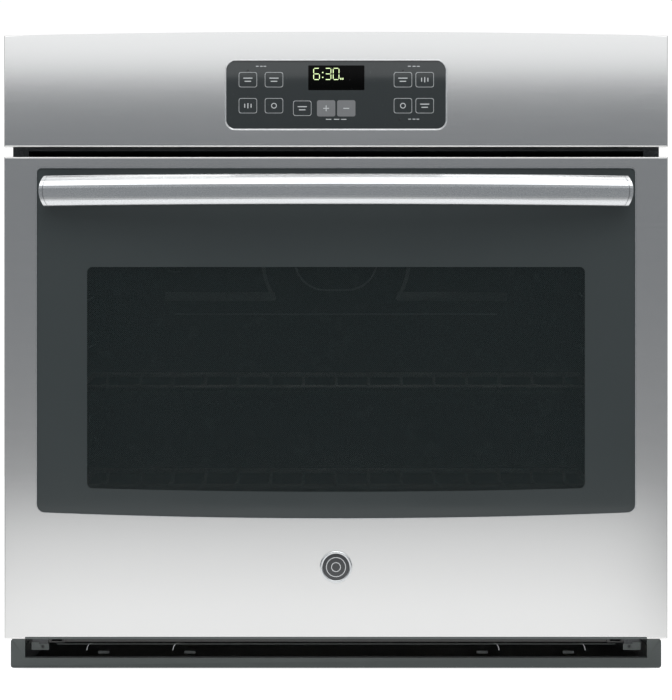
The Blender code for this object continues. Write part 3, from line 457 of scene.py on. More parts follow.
def add_disc(bm, centre, axis, radius, thick, sides=24, dome=0.0):
    """A turned button: a flat disc with a rounded, slightly domed face that looks along axis."""
    direction = Vector(axis)
    turn = direction.to_track_quat("Z", "Y").to_matrix().to_4x4()
    place = Matrix.Translation(centre) @ turn
    profile = [(radius, 0.0), (radius, thick * DISC_SHOULDER)]
    profile += [(radius * DISC_FACE, thick), (radius * DISC_MIDDLE, thick + dome * DISC_CROWN)]
    rings = []
    for r, h in profile:
        ring = []
        for i in range(sides):
            angle = 2 * math.pi * i / sides
            ring.append(bm.verts.new(place @ Vector((r * math.cos(angle), r * math.sin(angle), h))))
        rings.append(ring)
    tip = bm.verts.new(place @ Vector((0, 0, thick + dome)))
    for a, b in zip(rings, rings[1:]):
        for i in range(sides):
            j = (i + 1) % sides
            bm.faces.new((a[i], a[j], b[j], b[i]))
    for i in range(sides):
        bm.faces.new((rings[-1][i], rings[-1][(i + 1) % sides], tip))
    bm.faces.new(list(reversed(rings[0])))


# radius and thickness of a hex screw's washer and head, the head's start and its dome, as shares of its size
WASHER, HEX_HEAD, HEAD_START, HEAD_DOME = (1.35, 0.22), (0.92, 0.62), 0.18, 0.05


def add_hex_screw(bm, at, axis, size=0.0040):
    """A hex-head sheet-metal screw with its washer flange."""
    add_disc(bm, at, axis, size * WASHER[0], size * WASHER[1], 20)
    top = Vector(at) + Vector(axis) * size * HEAD_START
    add_disc(bm, top, axis, size * HEX_HEAD[0], size * HEX_HEAD[1], 6, size * HEAD_DOME)


# ---- the oven's printed and fitted detail -----------------------------------------------------------
KEY_SIZE, KEY_RADIUS, PRINT_WIDTH, PRINT_THICK = (0.0207, 0.0171), 0.0025, 0.00042, 0.00012
KEY_COLUMNS = (-0.1003, -0.0706, 0.0762, 0.1010)
KEY_ROWS = (0.6723, 0.6427)
LONE_KEY = (-0.0384, 0.6398)
PAD_CENTRES, PAD_SIZE = (-0.0112, 0.0117), (0.0208, 0.0185)
PAD_Z, PAD_RADIUS = 0.6397, 0.0022
KEY_SIGNS = ("bars", "wave", "bars", "dot", "bars", "dot", "wave", "bars")
LAMPS = ((-0.1003, 0.6828), (-0.1003, 0.6528), (-0.0384, 0.6498), (0.0762, 0.6826), (0.0762, 0.6526))
LAMPS += ((0.1010, 0.6526), (0.0723, 0.6273))
LEGENDS = ((-0.0853, 0.6876, 0.012), (0.0886, 0.6876, 0.014))
LEGENDS += ((0.0002, 0.6272, 0.024), (0.0885, 0.6274, 0.013))
LEGEND_DASHES, LEGEND_DASH_WIDE, LEGEND_TALL = (-0.36, 0.02, 0.36), 0.26, 0.0009
LAMP_RADIUS, LAMP_THICK = 0.0011, 0.0002
# the signs on the keys
STROKE = 0.0011
BAR_WIDTHS, BAR_RISE, BAR_PITCH = (0.0105, 0.0075), 0.0018, 0.0036
WAVE_PITCH, WAVE_TALL, WAVE_DROP = 0.0036, 0.0062, 0.0016
DOT_SIGN, DOT_SIGN_CORNER, DOT_SIGN_STROKE = (0.0064, 0.0064), 0.0031, 0.0009
SIGN_WIDE, SIGN_STROKE, PLUS_ARM_UP, PLUS_ARM_TALL = 0.0068, 0.0010, 0.0020, 0.0028
DISPLAY_CENTRE, DISPLAY_SIZE = (0.0004, 0.6745), (0.0640, 0.0282)
DIGIT_HIGH, DIGIT_WIDE, SEGMENT, SEGMENT_GAP = 0.0128, 0.0066, 0.00085, 0.62
SEGMENTS = {"0": "abcdef", "3": "abcdg", "6": "acdefg"}


def add_plate(bm, centre, size, y, thick=PRINT_THICK, radius=0.0004):
    """A thin raised print: a rectangle with round corners."""
    add_slab(bm, rounded(centre, size, min(radius, 0.49 * min(size)), 3), y, thick)


def add_mark(bm, centre, kind, y):
    """A small generic sign for a key."""
    x, z = centre
    if kind == "bars":
        for i, wide in enumerate(BAR_WIDTHS):
            add_plate(bm, (x, z + BAR_RISE - BAR_PITCH * i), (wide, STROKE), y)
    elif kind == "wave":
        for i in range(3):
            spot = (x - WAVE_PITCH + WAVE_PITCH * i, z)
            add_plate(bm, spot, (STROKE, WAVE_TALL - WAVE_DROP * abs(i - 1)), y)
    elif kind == "dot":
        add_ring(bm, rounded((x, z), DOT_SIGN, DOT_SIGN_CORNER, 5), DOT_SIGN_STROKE, y, PRINT_THICK)
    else:
        add_plate(bm, (x, z), (SIGN_WIDE, SIGN_STROKE), y)
    if kind == "plus":
        add_plate(bm, (x, z + PLUS_ARM_UP), (SIGN_STROKE, PLUS_ARM_TALL), y)
        add_plate(bm, (x, z - PLUS_ARM_UP), (SIGN_STROKE, PLUS_ARM_TALL), y)


def control_prints():
    """Key outlines, their signs, the indicator lamps and the small legends of the touch glass."""
    y = TOUCH_LOW.y
    white = ink("print_light_grey", (0.42, 0.44, 0.45))
    grey = ink("print_mid_grey", (0.125, 0.130, 0.135))
    lamp = moulded("indicator_lens", (0.006, 0.006, 0.007), 0.30)
    outlines = bmesh.new()
    marks = bmesh.new()
    kinds = iter(KEY_SIGNS)
    for x in KEY_COLUMNS:
        for z in KEY_ROWS:
            add_ring(outlines, rounded((x, z), KEY_SIZE, KEY_RADIUS), PRINT_WIDTH, y, PRINT_THICK)
            add_mark(marks, (x, z), next(kinds), y)
    add_ring(outlines, rounded(LONE_KEY, KEY_SIZE, KEY_RADIUS), PRINT_WIDTH, y, PRINT_THICK)
    add_mark(marks, LONE_KEY, "bars", y)
    piece("key_outlines", outlines, white, "chassis", smooth=False)
    pads = bmesh.new()
    for x, kind in zip(PAD_CENTRES, ("plus", "minus")):
        add_plate(pads, (x, PAD_Z), PAD_SIZE, y, radius=PAD_RADIUS)
        add_mark(marks, (x, PAD_Z), kind, y - PRINT_THICK)
    piece("adjust_pads", pads, grey, "chassis", smooth=False)
    for x, z, wide in LEGENDS:
        for share in LEGEND_DASHES:
            add_plate(marks, (x + share * wide, z), (wide * LEGEND_DASH_WIDE, LEGEND_TALL), y)
    piece("key_signs", marks, white, "chassis", smooth=False)
    lamps = bmesh.new()
    for x, z in LAMPS:
        add_disc(lamps, (x, y, z), (0, -1, 0), LAMP_RADIUS, LAMP_THICK, 16)
    piece("indicator_lamps", lamps, lamp, "chassis")


TOUCH_CORNER, RIM_STEPS = 0.0100, 8
# how far outside the glass's outline each line of the rim's profile runs, and how proud two of them are
RIM_OUTER, RIM_CREST, RIM_CREST_PROUD = 0.0034, 0.0030, 0.00015
RIM_INNER, RIM_FOOT, RIM_INNER_PROUD = 0.0004, 0.0002, 0.0001
# place and size of the black strip at the glass's top, a painted shadow of the gap
GAP_SHADOW_UP, GAP_SHADOW_SHORTER, GAP_SHADOW_TALL, GAP_SHADOW_PROUD, GAP_SHADOW_THICK = 0.0004, 0.012, 0.0024, 0.00015, 0.0002


def touch_rim():
    """The pressed edge of the fascia around the touch glass, and a black strip at its top that is painted
    shadow of the gap there.
    """
    centre = ((TOUCH_LOW.x + TOUCH_HIGH.x) / 2, (TOUCH_LOW.z + TOUCH_HIGH.z) / 2)
    size = (TOUCH_HIGH.x - TOUCH_LOW.x, TOUCH_HIGH.z - TOUCH_LOW.z)
    rim = bmesh.new()
    loops = []
    outer = ((RIM_OUTER, PANEL_LOW.y), (RIM_CREST, PANEL_LOW.y - RIM_CREST_PROUD))
    inner = ((RIM_INNER, TOUCH_LOW.y - RIM_INNER_PROUD), (RIM_FOOT, TOUCH_LOW.y))
    for grow, y in outer + inner:
        outline = rounded(centre, (size[0] + grow, size[1] + grow), TOUCH_CORNER + grow / 2, RIM_STEPS)
        loops.append([rim.verts.new((x, y, z)) for x, z in outline])
    bridge(rim, loops)
    piece("touch_rim", rim, LOOKS["bright_steel"], "chassis")
    # a black strip along the top of the touch glass: painted shadow of the gap between glass and fascia
    gap_shadow = bmesh.new()
    spot = (centre[0], TOUCH_HIGH.z + GAP_SHADOW_UP)
    add_plate(gap_shadow, spot, (size[0] - GAP_SHADOW_SHORTER, GAP_SHADOW_TALL), TOUCH_LOW.y - GAP_SHADOW_PROUD, GAP_SHADOW_THICK)
    piece("touch_gap_painted_shadow", gap_shadow, LOOKS["moulded_black"], "chassis", smooth=False)


def add_digit(bm, corner, lit, y):
    """One seven-segment figure with its lower left corner here."""
    x, z = corner
    half = DIGIT_HIGH / 2
    reach = SEGMENT * SEGMENT_GAP

    def bar(a, b):
        along = (Vector(b) - Vector(a)).normalized()
        across = Vector((-along.y, along.x)) * SEGMENT / 2
        a = Vector(a) + along * reach
        b = Vector(b) - along * reach
        tip = along * SEGMENT / 2
        points = [a, a + tip + across, b - tip + across, b, b - tip - across, a + tip - across]
        add_slab(bm, [(x + p.x, z + p.y) for p in points], y, PRINT_THICK)

    wide = DIGIT_WIDE
    ends = {
        "a": ((0, 2 * half), (wide, 2 * half)),
        "b": ((wide, half), (wide, 2 * half)),
        "c": ((wide, 0), (wide, half)),
        "d": ((0, 0), (wide, 0)),
        "e": ((0, 0), (0, half)),
        "f": ((0, half), (0, 2 * half)),
        "g": ((0, half), (wide, half)),
    }
    for name in lit:
        bar(*ends[name])


FACE_THICK, FACE_CORNER, FACE_SHINE = 0.00005, 0.0008, 0.05
FIGURES_LEFT, FIGURES_DOWN = 0.0258, 0.0020
FIGURES = (("6", 0.0), ("3", 0.0130), ("0", 0.0222))
COLON_ALONG, COLON_RISES, COLON_SIZE = 0.0103, (0.0025, 0.0080), (0.0014, 0.0014)
TICK_ALONG, TICK_PITCH, TICK_DOWN, TICK_SIZE = 0.0310, 0.0022, 0.0012, (0.0013, 0.0022)


def clock():
    """The display's window and its lit figures."""
    y = TOUCH_LOW.y
    window = bmesh.new()
    add_plate(window, DISPLAY_CENTRE, DISPLAY_SIZE, y, thick=FACE_THICK, radius=FACE_CORNER)
    black = gloss_black("display_black", (0.001, 0.001, 0.001), 0.07)
    black.node_tree.nodes["Principled BSDF"].inputs["Specular IOR Level"].default_value = FACE_SHINE
    piece("display_face", window, black, "chassis", smooth=False)
    lit = glow("display_segments", (0.60, 0.74, 0.38), 0.55)
    figures = bmesh.new()
    left = DISPLAY_CENTRE[0] - FIGURES_LEFT
    for figure, shift in FIGURES:
        corner = (left + shift, DISPLAY_CENTRE[1] - FIGURES_DOWN)
        add_digit(figures, corner, SEGMENTS[figure], y - FACE_THICK)
    for up in COLON_RISES:
        spot = (left + COLON_ALONG, DISPLAY_CENTRE[1] - FIGURES_DOWN + up)
        add_plate(figures, spot, COLON_SIZE, y - FACE_THICK)
    for i in range(2):
        spot = (left + TICK_ALONG + TICK_PITCH * i, DISPLAY_CENTRE[1] - TICK_DOWN)
        add_plate(figures, spot, TICK_SIZE, y - FACE_THICK)
    piece("display_figures", figures, lit, "chassis", smooth=False)


BADGE_FACE, BADGE_FACE_THICK, BADGE_DOME = 0.0152, 0.0004, 0.0002
BADGE_RINGS, BADGE_RING_WIDE, BADGE_RING_THICK = (0.0226, 0.0110), 0.0008, 0.0003
BADGE_RIM, BADGE_RIM_HALF, BADGE_RIM_FLAT = 0.0167, 0.0016, 0.8
BADGE_RIM_STEPS, BADGE_RIM_SIDES = 8, 96


def badge_detail():
    """The badge: a bright rim around a dark disc with two plain raised rings."""
    centre = (BADGE_LOW + BADGE_HIGH) / 2
    y = BADGE_LOW.y
    face = bmesh.new()
    spot = (centre.x, y, centre.z)
    add_disc(face, spot, (0, -1, 0), BADGE_FACE, BADGE_FACE_THICK, 64, BADGE_DOME)
    dark = gloss_black("badge_lacquer", (0.035, 0.037, 0.040), 0.22)
    piece("badge_face", face, dark, "door")
    ring = bmesh.new()
    for across in BADGE_RINGS:
        outline = rounded((centre.x, centre.z), (across, across), 0.499 * across, 12)
        add_ring(ring, outline, BADGE_RING_WIDE, y - BADGE_FACE_THICK, BADGE_RING_THICK)
    loops = []
    for i in range(BADGE_RIM_STEPS + 1):
        angle = math.pi * i / BADGE_RIM_STEPS
        radius = BADGE_RIM - BADGE_RIM_HALF * math.cos(angle)
        rise = BADGE_RIM_HALF * BADGE_RIM_FLAT * math.sin(angle)
        loop = []
        for j in range(BADGE_RIM_SIDES):
            turn = 2 * math.pi * j / BADGE_RIM_SIDES
            place = (centre.x + radius * math.cos(turn), y - rise, centre.z + radius * math.sin(turn))
            loop.append(ring.verts.new(place))
        loops.append(loop)
    bridge(ring, loops)
    piece("badge_rings", ring, LOOKS["bright_steel"], "door")


# the window's outline in the door's skin: half its width, its top, the ends and the sag of its lower edge
LIP_HALF, LIP_TOP, LIP_SIDE_LOW, LIP_SAG = 0.34135, 0.57235, 0.1788, 0.0066
LIP_TOP_CORNER, LIP_LOW_CORNER = 0.006, 0.010
LIP_CORNER_STEPS, LIP_EDGE_STEPS = 6, 32
LIP_SINK, LIP_RISE, LIP_WIDE, LIP_FOOT = 0.0011, 0.0007, 0.0008, 0.0010


def window_outline():
    """The lip's outline: round corners joined by straight edges and a sagging lower edge."""
    reach = LIP_HALF - LIP_LOW_CORNER
    top = LIP_TOP - LIP_TOP_CORNER
    low = LIP_SIDE_LOW + LIP_LOW_CORNER
    points = arc((LIP_HALF - LIP_TOP_CORNER, top), LIP_TOP_CORNER, 0, LIP_CORNER_STEPS)
    points += arc((-LIP_HALF + LIP_TOP_CORNER, top), LIP_TOP_CORNER, 90, LIP_CORNER_STEPS)
    points += arc((-reach, low), LIP_LOW_CORNER, 180, LIP_CORNER_STEPS)
    for i in range(1, LIP_EDGE_STEPS):
        x = -reach + 2 * reach * i / LIP_EDGE_STEPS
        points.append((x, LIP_SIDE_LOW - LIP_SAG * (1 - (x / reach) ** 2)))
    return points + arc((reach, low), LIP_LOW_CORNER, 270, LIP_CORNER_STEPS)


def window_trim():
    """The folded lip of the door skin around the window, seen as a fine bright edge."""
    lip = bmesh.new()
    y = FRONT_Y + LIP_SINK
    points = window_outline()
    count = len(points)
    loops = []
    for offset, depth in ((0.0, y), (0.0, y - LIP_RISE), (LIP_WIDE, y - LIP_RISE), (LIP_FOOT, y)):
        ring = []
        for i, (x, z) in enumerate(points):
            before, after = Vector(points[i - 1]), Vector(points[(i + 1) % count])
            along = (after - before).normalized()
            ring.append(lip.verts.new((x - along.y * offset, depth, z + along.x * offset)))
        loops.append(ring)
    bridge(lip, loops)
    piece("window_lip", lip, LOOKS["bright_steel"], "door")


BACK_SCREW_ROWS, BACK_SCREW_INSET = (0.030, 0.240, 0.450, 0.665), 0.010
BACK_SCREW_COLUMNS, BACK_SCREW_ENDS = (-0.20, 0.0, 0.20), (0.012, 0.680)
SIDE_SCREW_SHARES, SIDE_SCREW_ROWS = (0.08, 0.5, 0.92), (0.015, 0.676)


def chassis_screws():
    """Hex screws along the edges of the back and the sides."""
    zinc = oxidised("screw_zinc", (0.52, 0.53, 0.54), (0.42, 0.42, 0.41), 0.32, 1.0)
    screws = bmesh.new()
    for z in BACK_SCREW_ROWS:
        for x in (BACK_LOW.x + BACK_SCREW_INSET, BACK_HIGH.x - BACK_SCREW_INSET):
            add_hex_screw(screws, (x, BACK_HIGH.y, z), (0, 1, 0))
    for x in BACK_SCREW_COLUMNS:
        for z in BACK_SCREW_ENDS:
            add_hex_screw(screws, (x, BACK_HIGH.y, z), (0, 1, 0))
    for side in (-1, 1):
        for y_share in SIDE_SCREW_SHARES:
            y = SIDE_LOW.y + (SIDE_HIGH.y - SIDE_LOW.y) * y_share
            for z in SIDE_SCREW_ROWS:
                add_hex_screw(screws, (side * SIDE_HIGH.x, y, z), (side, 0, 0))
    piece("chassis_screws", screws, zinc, "chassis")


RIB_SLOPE, RIB_EDGE = 2.5, 0.0003
SIDE_RIB_ROWS, SIDE_RIB_INSET, SIDE_RIB_TALL, SIDE_RIB_RISE = (0.13, 0.30, 0.47), 0.07, 0.045, 0.0012
BACK_RIB_COLUMNS, BACK_RIB_WIDE, BACK_RIB_RISE = (-0.24, -0.04, 0.16), 0.08, 0.0014
BACK_RIB_LOW, BACK_RIB_HIGH = 0.10, 0.52


def add_rib(bm, low, high, normal, rise):
    """A pressed stiffening rib: a long low ridge with sloping sides between two corners of a panel."""
    low, high, up = Vector(low), Vector(high), Vector(normal)
    size = high - low
    axes = [i for i in range(3) if abs(up[i]) < 0.5]
    inset = rise * RIB_SLOPE
    corners = []
    tops = []
    for a, b in ((0, 0), (1, 0), (1, 1), (0, 1)):
        base = low.copy()
        base[axes[0]] += size[axes[0]] * a
        base[axes[1]] += size[axes[1]] * b
        top = base + up * rise
        top[axes[0]] += inset * (1 - 2 * a)
        top[axes[1]] += inset * (1 - 2 * b)
        corners.append(bm.verts.new(base))
        tops.append(bm.verts.new(top))
    bm.faces.new(tops)
    bm.faces.new(list(reversed(corners)))
    for i in range(4):
        j = (i + 1) % 4
        bm.faces.new((corners[i], corners[j], tops[j], tops[i]))


def chassis_ribs():
    """Pressed ribs that stiffen the large sheets."""
    ribs = bmesh.new()
    for side in (-1, 1):
        x = side * SIDE_HIGH.x
        for z in SIDE_RIB_ROWS:
            low = (x, SIDE_LOW.y + SIDE_RIB_INSET, z)
            high = (x, SIDE_HIGH.y - SIDE_RIB_INSET, z + SIDE_RIB_TALL)
            add_rib(ribs, low, high, (side, 0, 0), SIDE_RIB_RISE)
    for x in BACK_RIB_COLUMNS:
        low = (x, BACK_HIGH.y, BACK_RIB_LOW)
        add_rib(ribs, low, (x + BACK_RIB_WIDE, BACK_HIGH.y, BACK_RIB_HIGH), (0, 1, 0), BACK_RIB_RISE)
    bmesh.ops.bevel(ribs, geom=list(ribs.edges), offset=RIB_EDGE, segments=1, affect="EDGES")
    piece("panel_ribs", ribs, LOOKS["galvanised"], "chassis")


PAN_HEAD, PAN_SIDES = 0.0040, 20
LINER_SCREWS_X, LINER_SCREWS_Z, LINER_SCREW_UP = (-0.352, 0.352), (0.10, 0.24, 0.38, 0.52), 0.0012
FRAME_SCREWS_X, FRAME_SCREWS_Z = (-0.3425, 0.3425), (0.075, 0.30, 0.50)
# thickness and dome of the two kinds of head
LINER_HEAD, FRAME_HEAD = (0.0016, 0.0008), (0.0014, 0.0006)


def inner_fasteners():
    """Screws of the door liner and of the front frame, seen when the door is open."""
    bright = oxidised("liner_screw_steel", (0.45, 0.45, 0.45), (0.30, 0.29, 0.28), 0.35, 1.0)
    door = bmesh.new()
    for x in LINER_SCREWS_X:
        for z in LINER_SCREWS_Z:
            spot = (x, LINER_LOW.y + LINER_SCREW_UP, z)
            add_disc(door, spot, (0, 1, 0), PAN_HEAD, LINER_HEAD[0], PAN_SIDES, LINER_HEAD[1])
    piece("door_liner_screws", door, bright, "door")
    mouth = bmesh.new()
    for x in FRAME_SCREWS_X:
        for z in FRAME_SCREWS_Z:
            spot = (x, FRAME_LOW.y, z)
            add_disc(mouth, spot, (0, -1, 0), PAN_HEAD, FRAME_HEAD[0], PAN_SIDES, FRAME_HEAD[1])
    piece("frame_screws", mouth, bright, "chassis")


SCOOPS, SCOOP_BACK = (0.1812, 0.2800), 0.004
SCOOP_ACROSS, SCOOP_UP, SCOOP_LOW, SCOOP_SWEEP, SCOOP_STEPS = 0.0062, 0.0086, 0.0200, 95, 8
# the four edges of a scoop's sheet: (outward shift, depth)
SCOOP_SHEET = ((0, 0), (0.0004, 0.020), (-0.0004, 0.020), (-0.0008, 0))
FOOT_INWARD, FOOT_DEPTH, FOOT_Z = 0.0135, 0.006, 0.0180
FOOT_SIZE, FOOT_EDGE = (0.0126, 0.0120, 0.0034), 0.0006
FOLD_SINK, FOLD_Z, FOLD_SIZE, FOLD_EDGE = 0.0010, 0.0278, (0.640, 0.0016, 0.0008), 0.0002
# the black baffle and the black discs behind the bracket holes are painted shade
BAFFLE_BACK, BAFFLE_Z, BAFFLE_SIZE, BAFFLE_EDGE = 0.0012, 0.0330, (0.6196, 0.0008, 0.0056), 0.0002
HOLE_X, HOLE_Z, HOLE_SINK, HOLE_RADIUS, HOLE_THICK = 0.3357, 0.0251, 0.0002, 0.0018, 0.0004


def add_scoop(bm, centre, side, y):
    """A curved sheet that turns the air: an arc that runs back from the plane y."""
    points = []
    for i in range(SCOOP_STEPS + 1):
        angle = math.radians(SCOOP_SWEEP * i / SCOOP_STEPS)
        x = centre + side * SCOOP_ACROSS * math.cos(angle)
        points.append((x, SCOOP_LOW + SCOOP_UP * math.sin(angle)))
    rows = []
    for shift, depth in SCOOP_SHEET:
        rows.append([bm.verts.new((px + side * shift, y + depth, pz)) for px, pz in points])
    for a, b in zip(rows, rows[1:] + rows[:1]):
        for i in range(SCOOP_STEPS):
            bm.faces.new((a[i], a[i + 1], b[i + 1], b[i]))
    for i in (0, SCOOP_STEPS):
        bm.faces.new([row[i] for row in rows])


def base_louvres():
    """Behind the bottom trim: air scoops with their feet, the base's folded edge, and a dark baffle.

    The baffle is a black sheet that closes the view under the door, with a black disc behind each bracket's
    hole: painted shade where there is only shadow.
    """
    scoops = bmesh.new()
    edge = bmesh.new()
    y = FRAME_HIGH.y + SCOOP_BACK
    for side in (-1, 1):
        for x in SCOOPS:
            centre = side * x
            add_scoop(scoops, centre, side, y)
            add_box(edge, (centre - side * FOOT_INWARD, y + FOOT_DEPTH, FOOT_Z), FOOT_SIZE, FOOT_EDGE)
    piece("air_scoops", scoops, LOOKS["galvanised"], "chassis")
    add_box(edge, (0, FRAME_LOW.y + FOLD_SINK, FOLD_Z), FOLD_SIZE, FOLD_EDGE)
    piece("base_edge", edge, LOOKS["grey_paint"], "chassis")
    # a black sheet and black discs behind the bracket holes: painted shade in the shadow under the door
    baffle = bmesh.new()
    add_box(baffle, (0, FRAME_HIGH.y + BAFFLE_BACK, BAFFLE_Z), BAFFLE_SIZE, BAFFLE_EDGE)
    for side in (-1, 1):
        spot = (side * HOLE_X, FRAME_LOW.y + HOLE_SINK, HOLE_Z)
        add_disc(baffle, spot, (0, -1, 0), HOLE_RADIUS, HOLE_THICK, 16)
    piece("inlet_painted_shade", baffle, LOOKS["black_paint"], "chassis")


CLIP_COLUMNS, CLIP_SHARES, CLIP_EDGE = (-0.175, 0.0, 0.175), (0.22, 0.72), 0.0004
ROOF_SHEET, HANGER_SIZE, HANGER_GAP = 0.0015, (0.0030, 0.0100), 0.0012
CROSSBAR_UP, CROSSBAR_SIZE = 0.0011, (0.0420, 0.0060, 0.0016)


def element_clips():
    """Supports that hang the grill element from the cavity's roof: a hanger and a crossbar each."""
    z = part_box("broil_element")[1].z
    roof = CAVITY_HIGH.z - ROOF_SHEET
    clips = bmesh.new()
    for x in CLIP_COLUMNS:
        for y_share in CLIP_SHARES:
            y = CAVITY_LOW.y + (CAVITY_HIGH.y - CAVITY_LOW.y) * y_share
            middle = (x, y, (z + roof) / 2 + HANGER_GAP / 2)
            add_box(clips, middle, (*HANGER_SIZE, roof - z - HANGER_GAP), CLIP_EDGE)
            add_box(clips, (x, y, z + CROSSBAR_UP), CROSSBAR_SIZE, CLIP_EDGE)
    steel_wire = oxidised("clip_steel", (0.34, 0.33, 0.32), (0.20, 0.19, 0.18), 0.4, 1.0)
    piece("element_clips", clips, steel_wire, "chassis")


def hinge_springs():
    """The springs in the hinge channels, as copies that ride on the door."""
    for side in ("left", "right"):
        node = "hinge_spring_" + side
        spring = bpy.data.objects.new("closing_spring_" + side, frame["nodes"][node].data.copy())
        bpy.context.scene.collection.objects.link(spring)
        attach(spring, "door")
        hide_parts(node)
        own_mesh(spring)


EMBOSS_PLANE, EMBOSS_CENTRE = 0.0017, (0.0, 0.478)
ROUND_SIZE, ROUND_CORNER, ROUND_STROKE, ROUND_RISE = (0.1860, 0.1860), 0.0929, 0.0045, 0.0030
ROUND_CUT_Z = 0.4275
INNER_SIZE, INNER_CORNER, INNER_STROKE, INNER_RISE = (0.1040, 0.0800), 0.0380, 0.0022, 0.0020
BAR_X, BAR_Z, BAR_PROUD, BAR_SIZE, BAR_EDGE = 0.144, 0.4310, 0.0010, (0.136, 0.0030, 0.0110), 0.0012
LINE_Z, LINE_PROUD, LINE_SIZE, LINE_EDGE = 0.4090, 0.0008, (0.400, 0.0024, 0.0016), 0.0006


def cavity_embossing():
    """Raised lines of the cavity's rear wall: a cut-off ring, a ring in it, two bars and a thin line,
    coloured light grey against the dark enamel as a painted highlight.
    """
    y = CAVITY_HIGH.y - EMBOSS_PLANE
    pads = bmesh.new()
    add_ring(pads, rounded(EMBOSS_CENTRE, ROUND_SIZE, ROUND_CORNER, 16), ROUND_STROKE, y, ROUND_RISE)
    below = [face for face in pads.faces if face.calc_center_median().z < ROUND_CUT_Z]
    bmesh.ops.delete(pads, geom=below, context="FACES")
    bmesh.ops.holes_fill(pads, edges=[edge for edge in pads.edges if edge.is_boundary])
    add_ring(pads, rounded(EMBOSS_CENTRE, INNER_SIZE, INNER_CORNER, 12), INNER_STROKE, y, INNER_RISE)
    for side in (-1, 1):
        add_box(pads, (side * BAR_X, y - BAR_PROUD, BAR_Z), BAR_SIZE, BAR_EDGE)
    add_box(pads, (0, y - LINE_PROUD, LINE_Z), LINE_SIZE, LINE_EDGE)
    # the raised lines take a grey far lighter than the wall's enamel, lighter still on their edges: a
    # painted highlight
    wear_and_highlight = paint("enamel_painted_highlight", (0.16, 0.18, 0.18), (0.26, 0.28, 0.28), 0.35, 500.0)
    piece("cavity_embossing", pads, wear_and_highlight, "chassis")


# place and size of the dark strip at the bottom of the door's skin, a painted shadow
HEM_SHADOW_SINK, HEM_SHADOW_UP, HEM_SHADOW_SIZE, HEM_SHADOW_EDGE = 0.0005, 0.0011, (0.7080, 0.0014, 0.0026), 0.0004


def door_hem_painted_shadow():
    """A dark grey strip along the bottom of the door's skin: painted shadow along the door's lower edge."""
    hem_shadow_strip = bmesh.new()
    add_box(hem_shadow_strip, (0, FRONT_Y + HEM_SHADOW_SINK, SKIN_LOW.z + HEM_SHADOW_UP), HEM_SHADOW_SIZE, HEM_SHADOW_EDGE)
    piece("door_hem_painted_shadow", hem_shadow_strip, LOOKS["grey_paint"], "door")


# ---- studio -----------------------------------------------------------------------------------------
FLOOR_HALF, FLOOR_Z, FLOOR_GLOW = 9, -0.0004, 0.86
FLOOR_DARK_Y, FLOOR_LIT_Y = -2.0, -1.0
# the world's strength in front of the oven and behind it, and where it fades along Y and Z
WORLD_DIM, WORLD_BRIGHT, DIM_TINT = 0.265, 1.05, (0.94, 1.0, 1.07)
BEHIND_FADE, ABOVE_FADE = (-0.2, 0.5), (0.30, 0.75)
# each card: distance in front of the door, span along X, span along Z, radiance
UPPER_CARD = (0.44, (-1.5, 1.5), (0.698, 1.35), 1.12)
LOWER_CARD = (0.80, (-0.49, 0.42), (0.002, 0.162), 0.63)
SOFT_BOX = ((0.3, -1.6, 3.0), (0, 0, 0.4), (2.6, 1.6), 2.2)
FILL_BEHIND_MOUTH, FILL_BELOW_ROOF, FILL_AIM_UP = 0.03, 0.04, 0.15
FILL_SIZE, CAVITY_FILL = (0.50, 0.04), 3.6


def studio_floor():
    """A pale floor that glows under and behind the oven, and fades out in front of it."""
    bm = bmesh.new()
    corners = ((-1, -1), (1, -1), (1, 1), (-1, 1))
    bm.faces.new([bm.verts.new((x * FLOOR_HALF, y * FLOOR_HALF, FLOOR_Z)) for x, y in corners])
    mesh = bpy.data.meshes.new("studio_floor")
    bm.to_mesh(mesh)
    bm.free()
    look = Look("studio_floor", (0.45, 0.45, 0.45), 0.9)
    look.set(Emission_Color=(1, 1, 1, 1))
    y = look.add("ShaderNodeSeparateXYZ", {0: look.place}).outputs[1]
    values = {0: y, 1: FLOOR_DARK_Y, 2: FLOOR_LIT_Y, 3: 0.0, 4: FLOOR_GLOW}
    fade = look.add("ShaderNodeMapRange", values, interpolation_type="SMOOTHSTEP")
    look.tree.links.new(fade.outputs[0], look.shader.inputs["Emission Strength"])
    mesh.materials.append(look.material)
    floor = bpy.data.objects.new("studio_floor", mesh)
    bpy.context.scene.collection.objects.link(floor)


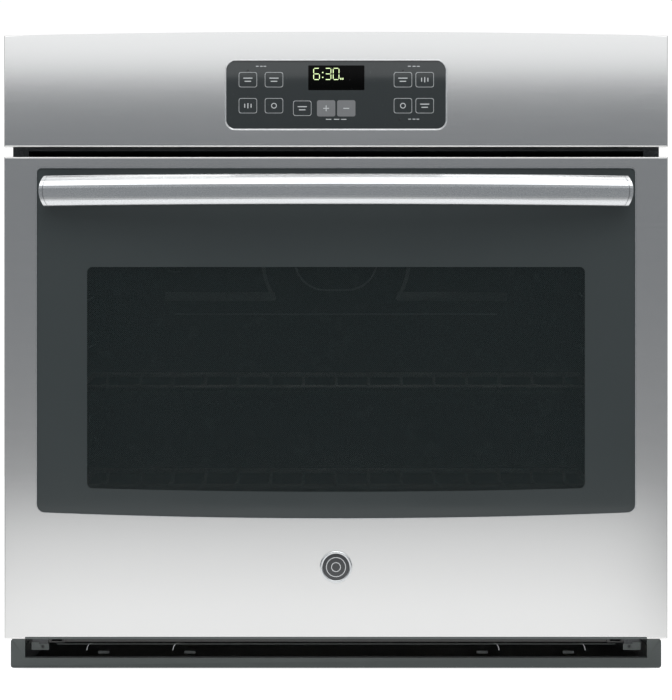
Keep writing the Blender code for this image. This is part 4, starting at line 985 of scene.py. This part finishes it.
def studio_world():
    """White behind and above the oven, dim in front of it at eye level."""
    world = bpy.data.worlds.new("studio")
    world.use_nodes = True
    tree = world.node_tree
    background = tree.nodes["Background"]
    direction = tree.nodes.new("ShaderNodeTexCoord").outputs["Generated"]
    split = tree.nodes.new("ShaderNodeSeparateXYZ")
    tree.links.new(direction, split.inputs[0])

    def ramp(source, low, high, start=0.0, end=1.0):
        node = tree.nodes.new("ShaderNodeMapRange")
        node.interpolation_type = "SMOOTHSTEP"
        tree.links.new(source, node.inputs[0])
        for i, value in enumerate((low, high, start, end)):
            node.inputs[i + 1].default_value = value
        return node.outputs[0]

    most = tree.nodes.new("ShaderNodeMath")
    most.operation = "MAXIMUM"
    tree.links.new(ramp(split.outputs[1], *BEHIND_FADE), most.inputs[0])
    tree.links.new(ramp(split.outputs[2], *ABOVE_FADE), most.inputs[1])
    strength = ramp(most.outputs[0], 0.0, 1.0, WORLD_DIM, WORLD_BRIGHT)
    tree.links.new(strength, background.inputs["Strength"])
    tint = tree.nodes.new("ShaderNodeMix")
    tint.data_type = "RGBA"
    tree.links.new(most.outputs[0], tint.inputs[0])
    tint.inputs[6].default_value = (*DIM_TINT, 1)
    tint.inputs[7].default_value = (1, 1, 1, 1)
    tree.links.new(tint.outputs[2], background.inputs["Color"])
    bpy.context.scene.world = world


def area_light(name, at, target, size, radiance):
    """A soft box that the camera doesn't see, of an even radiance."""
    light = bpy.data.lights.new(name, "AREA")
    light.shape = "RECTANGLE"
    light.size, light.size_y = size
    light.energy = radiance * math.pi * size[0] * size[1]
    obj = bpy.data.objects.new(name, light)
    obj.location = at
    obj.rotation_euler = (Vector(target) - Vector(at)).to_track_quat("-Z", "Y").to_euler()
    obj.visible_camera = False
    bpy.context.scene.collection.objects.link(obj)
    return obj


def upright_card(name, away, x, z, radiance):
    """A card that faces the oven, this far in front of its door."""
    y = FRONT_Y - away
    centre = ((x[0] + x[1]) / 2, y, (z[0] + z[1]) / 2)
    area_light(name, centre, (centre[0], 0, centre[2]), (x[1] - x[0], z[1] - z[0]), radiance)


def studio_lights():
    """Two cards that the steel reflects, a soft box above, and a dim fill inside the cavity."""
    upright_card("upper_card", *UPPER_CARD)
    upright_card("lower_card", *LOWER_CARD)
    area_light("soft_box", *SOFT_BOX)
    mouth = Vector((0, CAVITY_LOW.y + FILL_BEHIND_MOUTH, CAVITY_HIGH.z - FILL_BELOW_ROOF))
    rear = (0, CAVITY_HIGH.y, CAVITY_LOW.z + FILL_AIM_UP)
    fill = area_light("cavity_fill", mouth, rear, FILL_SIZE, CAVITY_FILL)
    fill.visible_glossy = False


def camera():
    """A long lens at eye level, straight in front of the door."""
    data = bpy.data.cameras.new("front_camera")
    data.lens = LENS_MM
    data.clip_end = 60
    obj = bpy.data.objects.new("front_camera", data)
    obj.location = (0, FRONT_Y - EYE_DISTANCE, EYE_Z)
    obj.rotation_euler = (math.pi / 2, 0, 0)
    bpy.context.scene.collection.objects.link(obj)
    bpy.context.scene.camera = obj


dress_nodes()
control_prints()
touch_rim()
clock()
badge_detail()
window_trim()
chassis_screws()
chassis_ribs()
inner_fasteners()
base_louvres()
element_clips()
hinge_springs()
cavity_embossing()
door_hem_painted_shadow()
studio_floor()
studio_world()
studio_lights()
camera()
bpy.context.scene.view_settings.view_transform = "Standard"
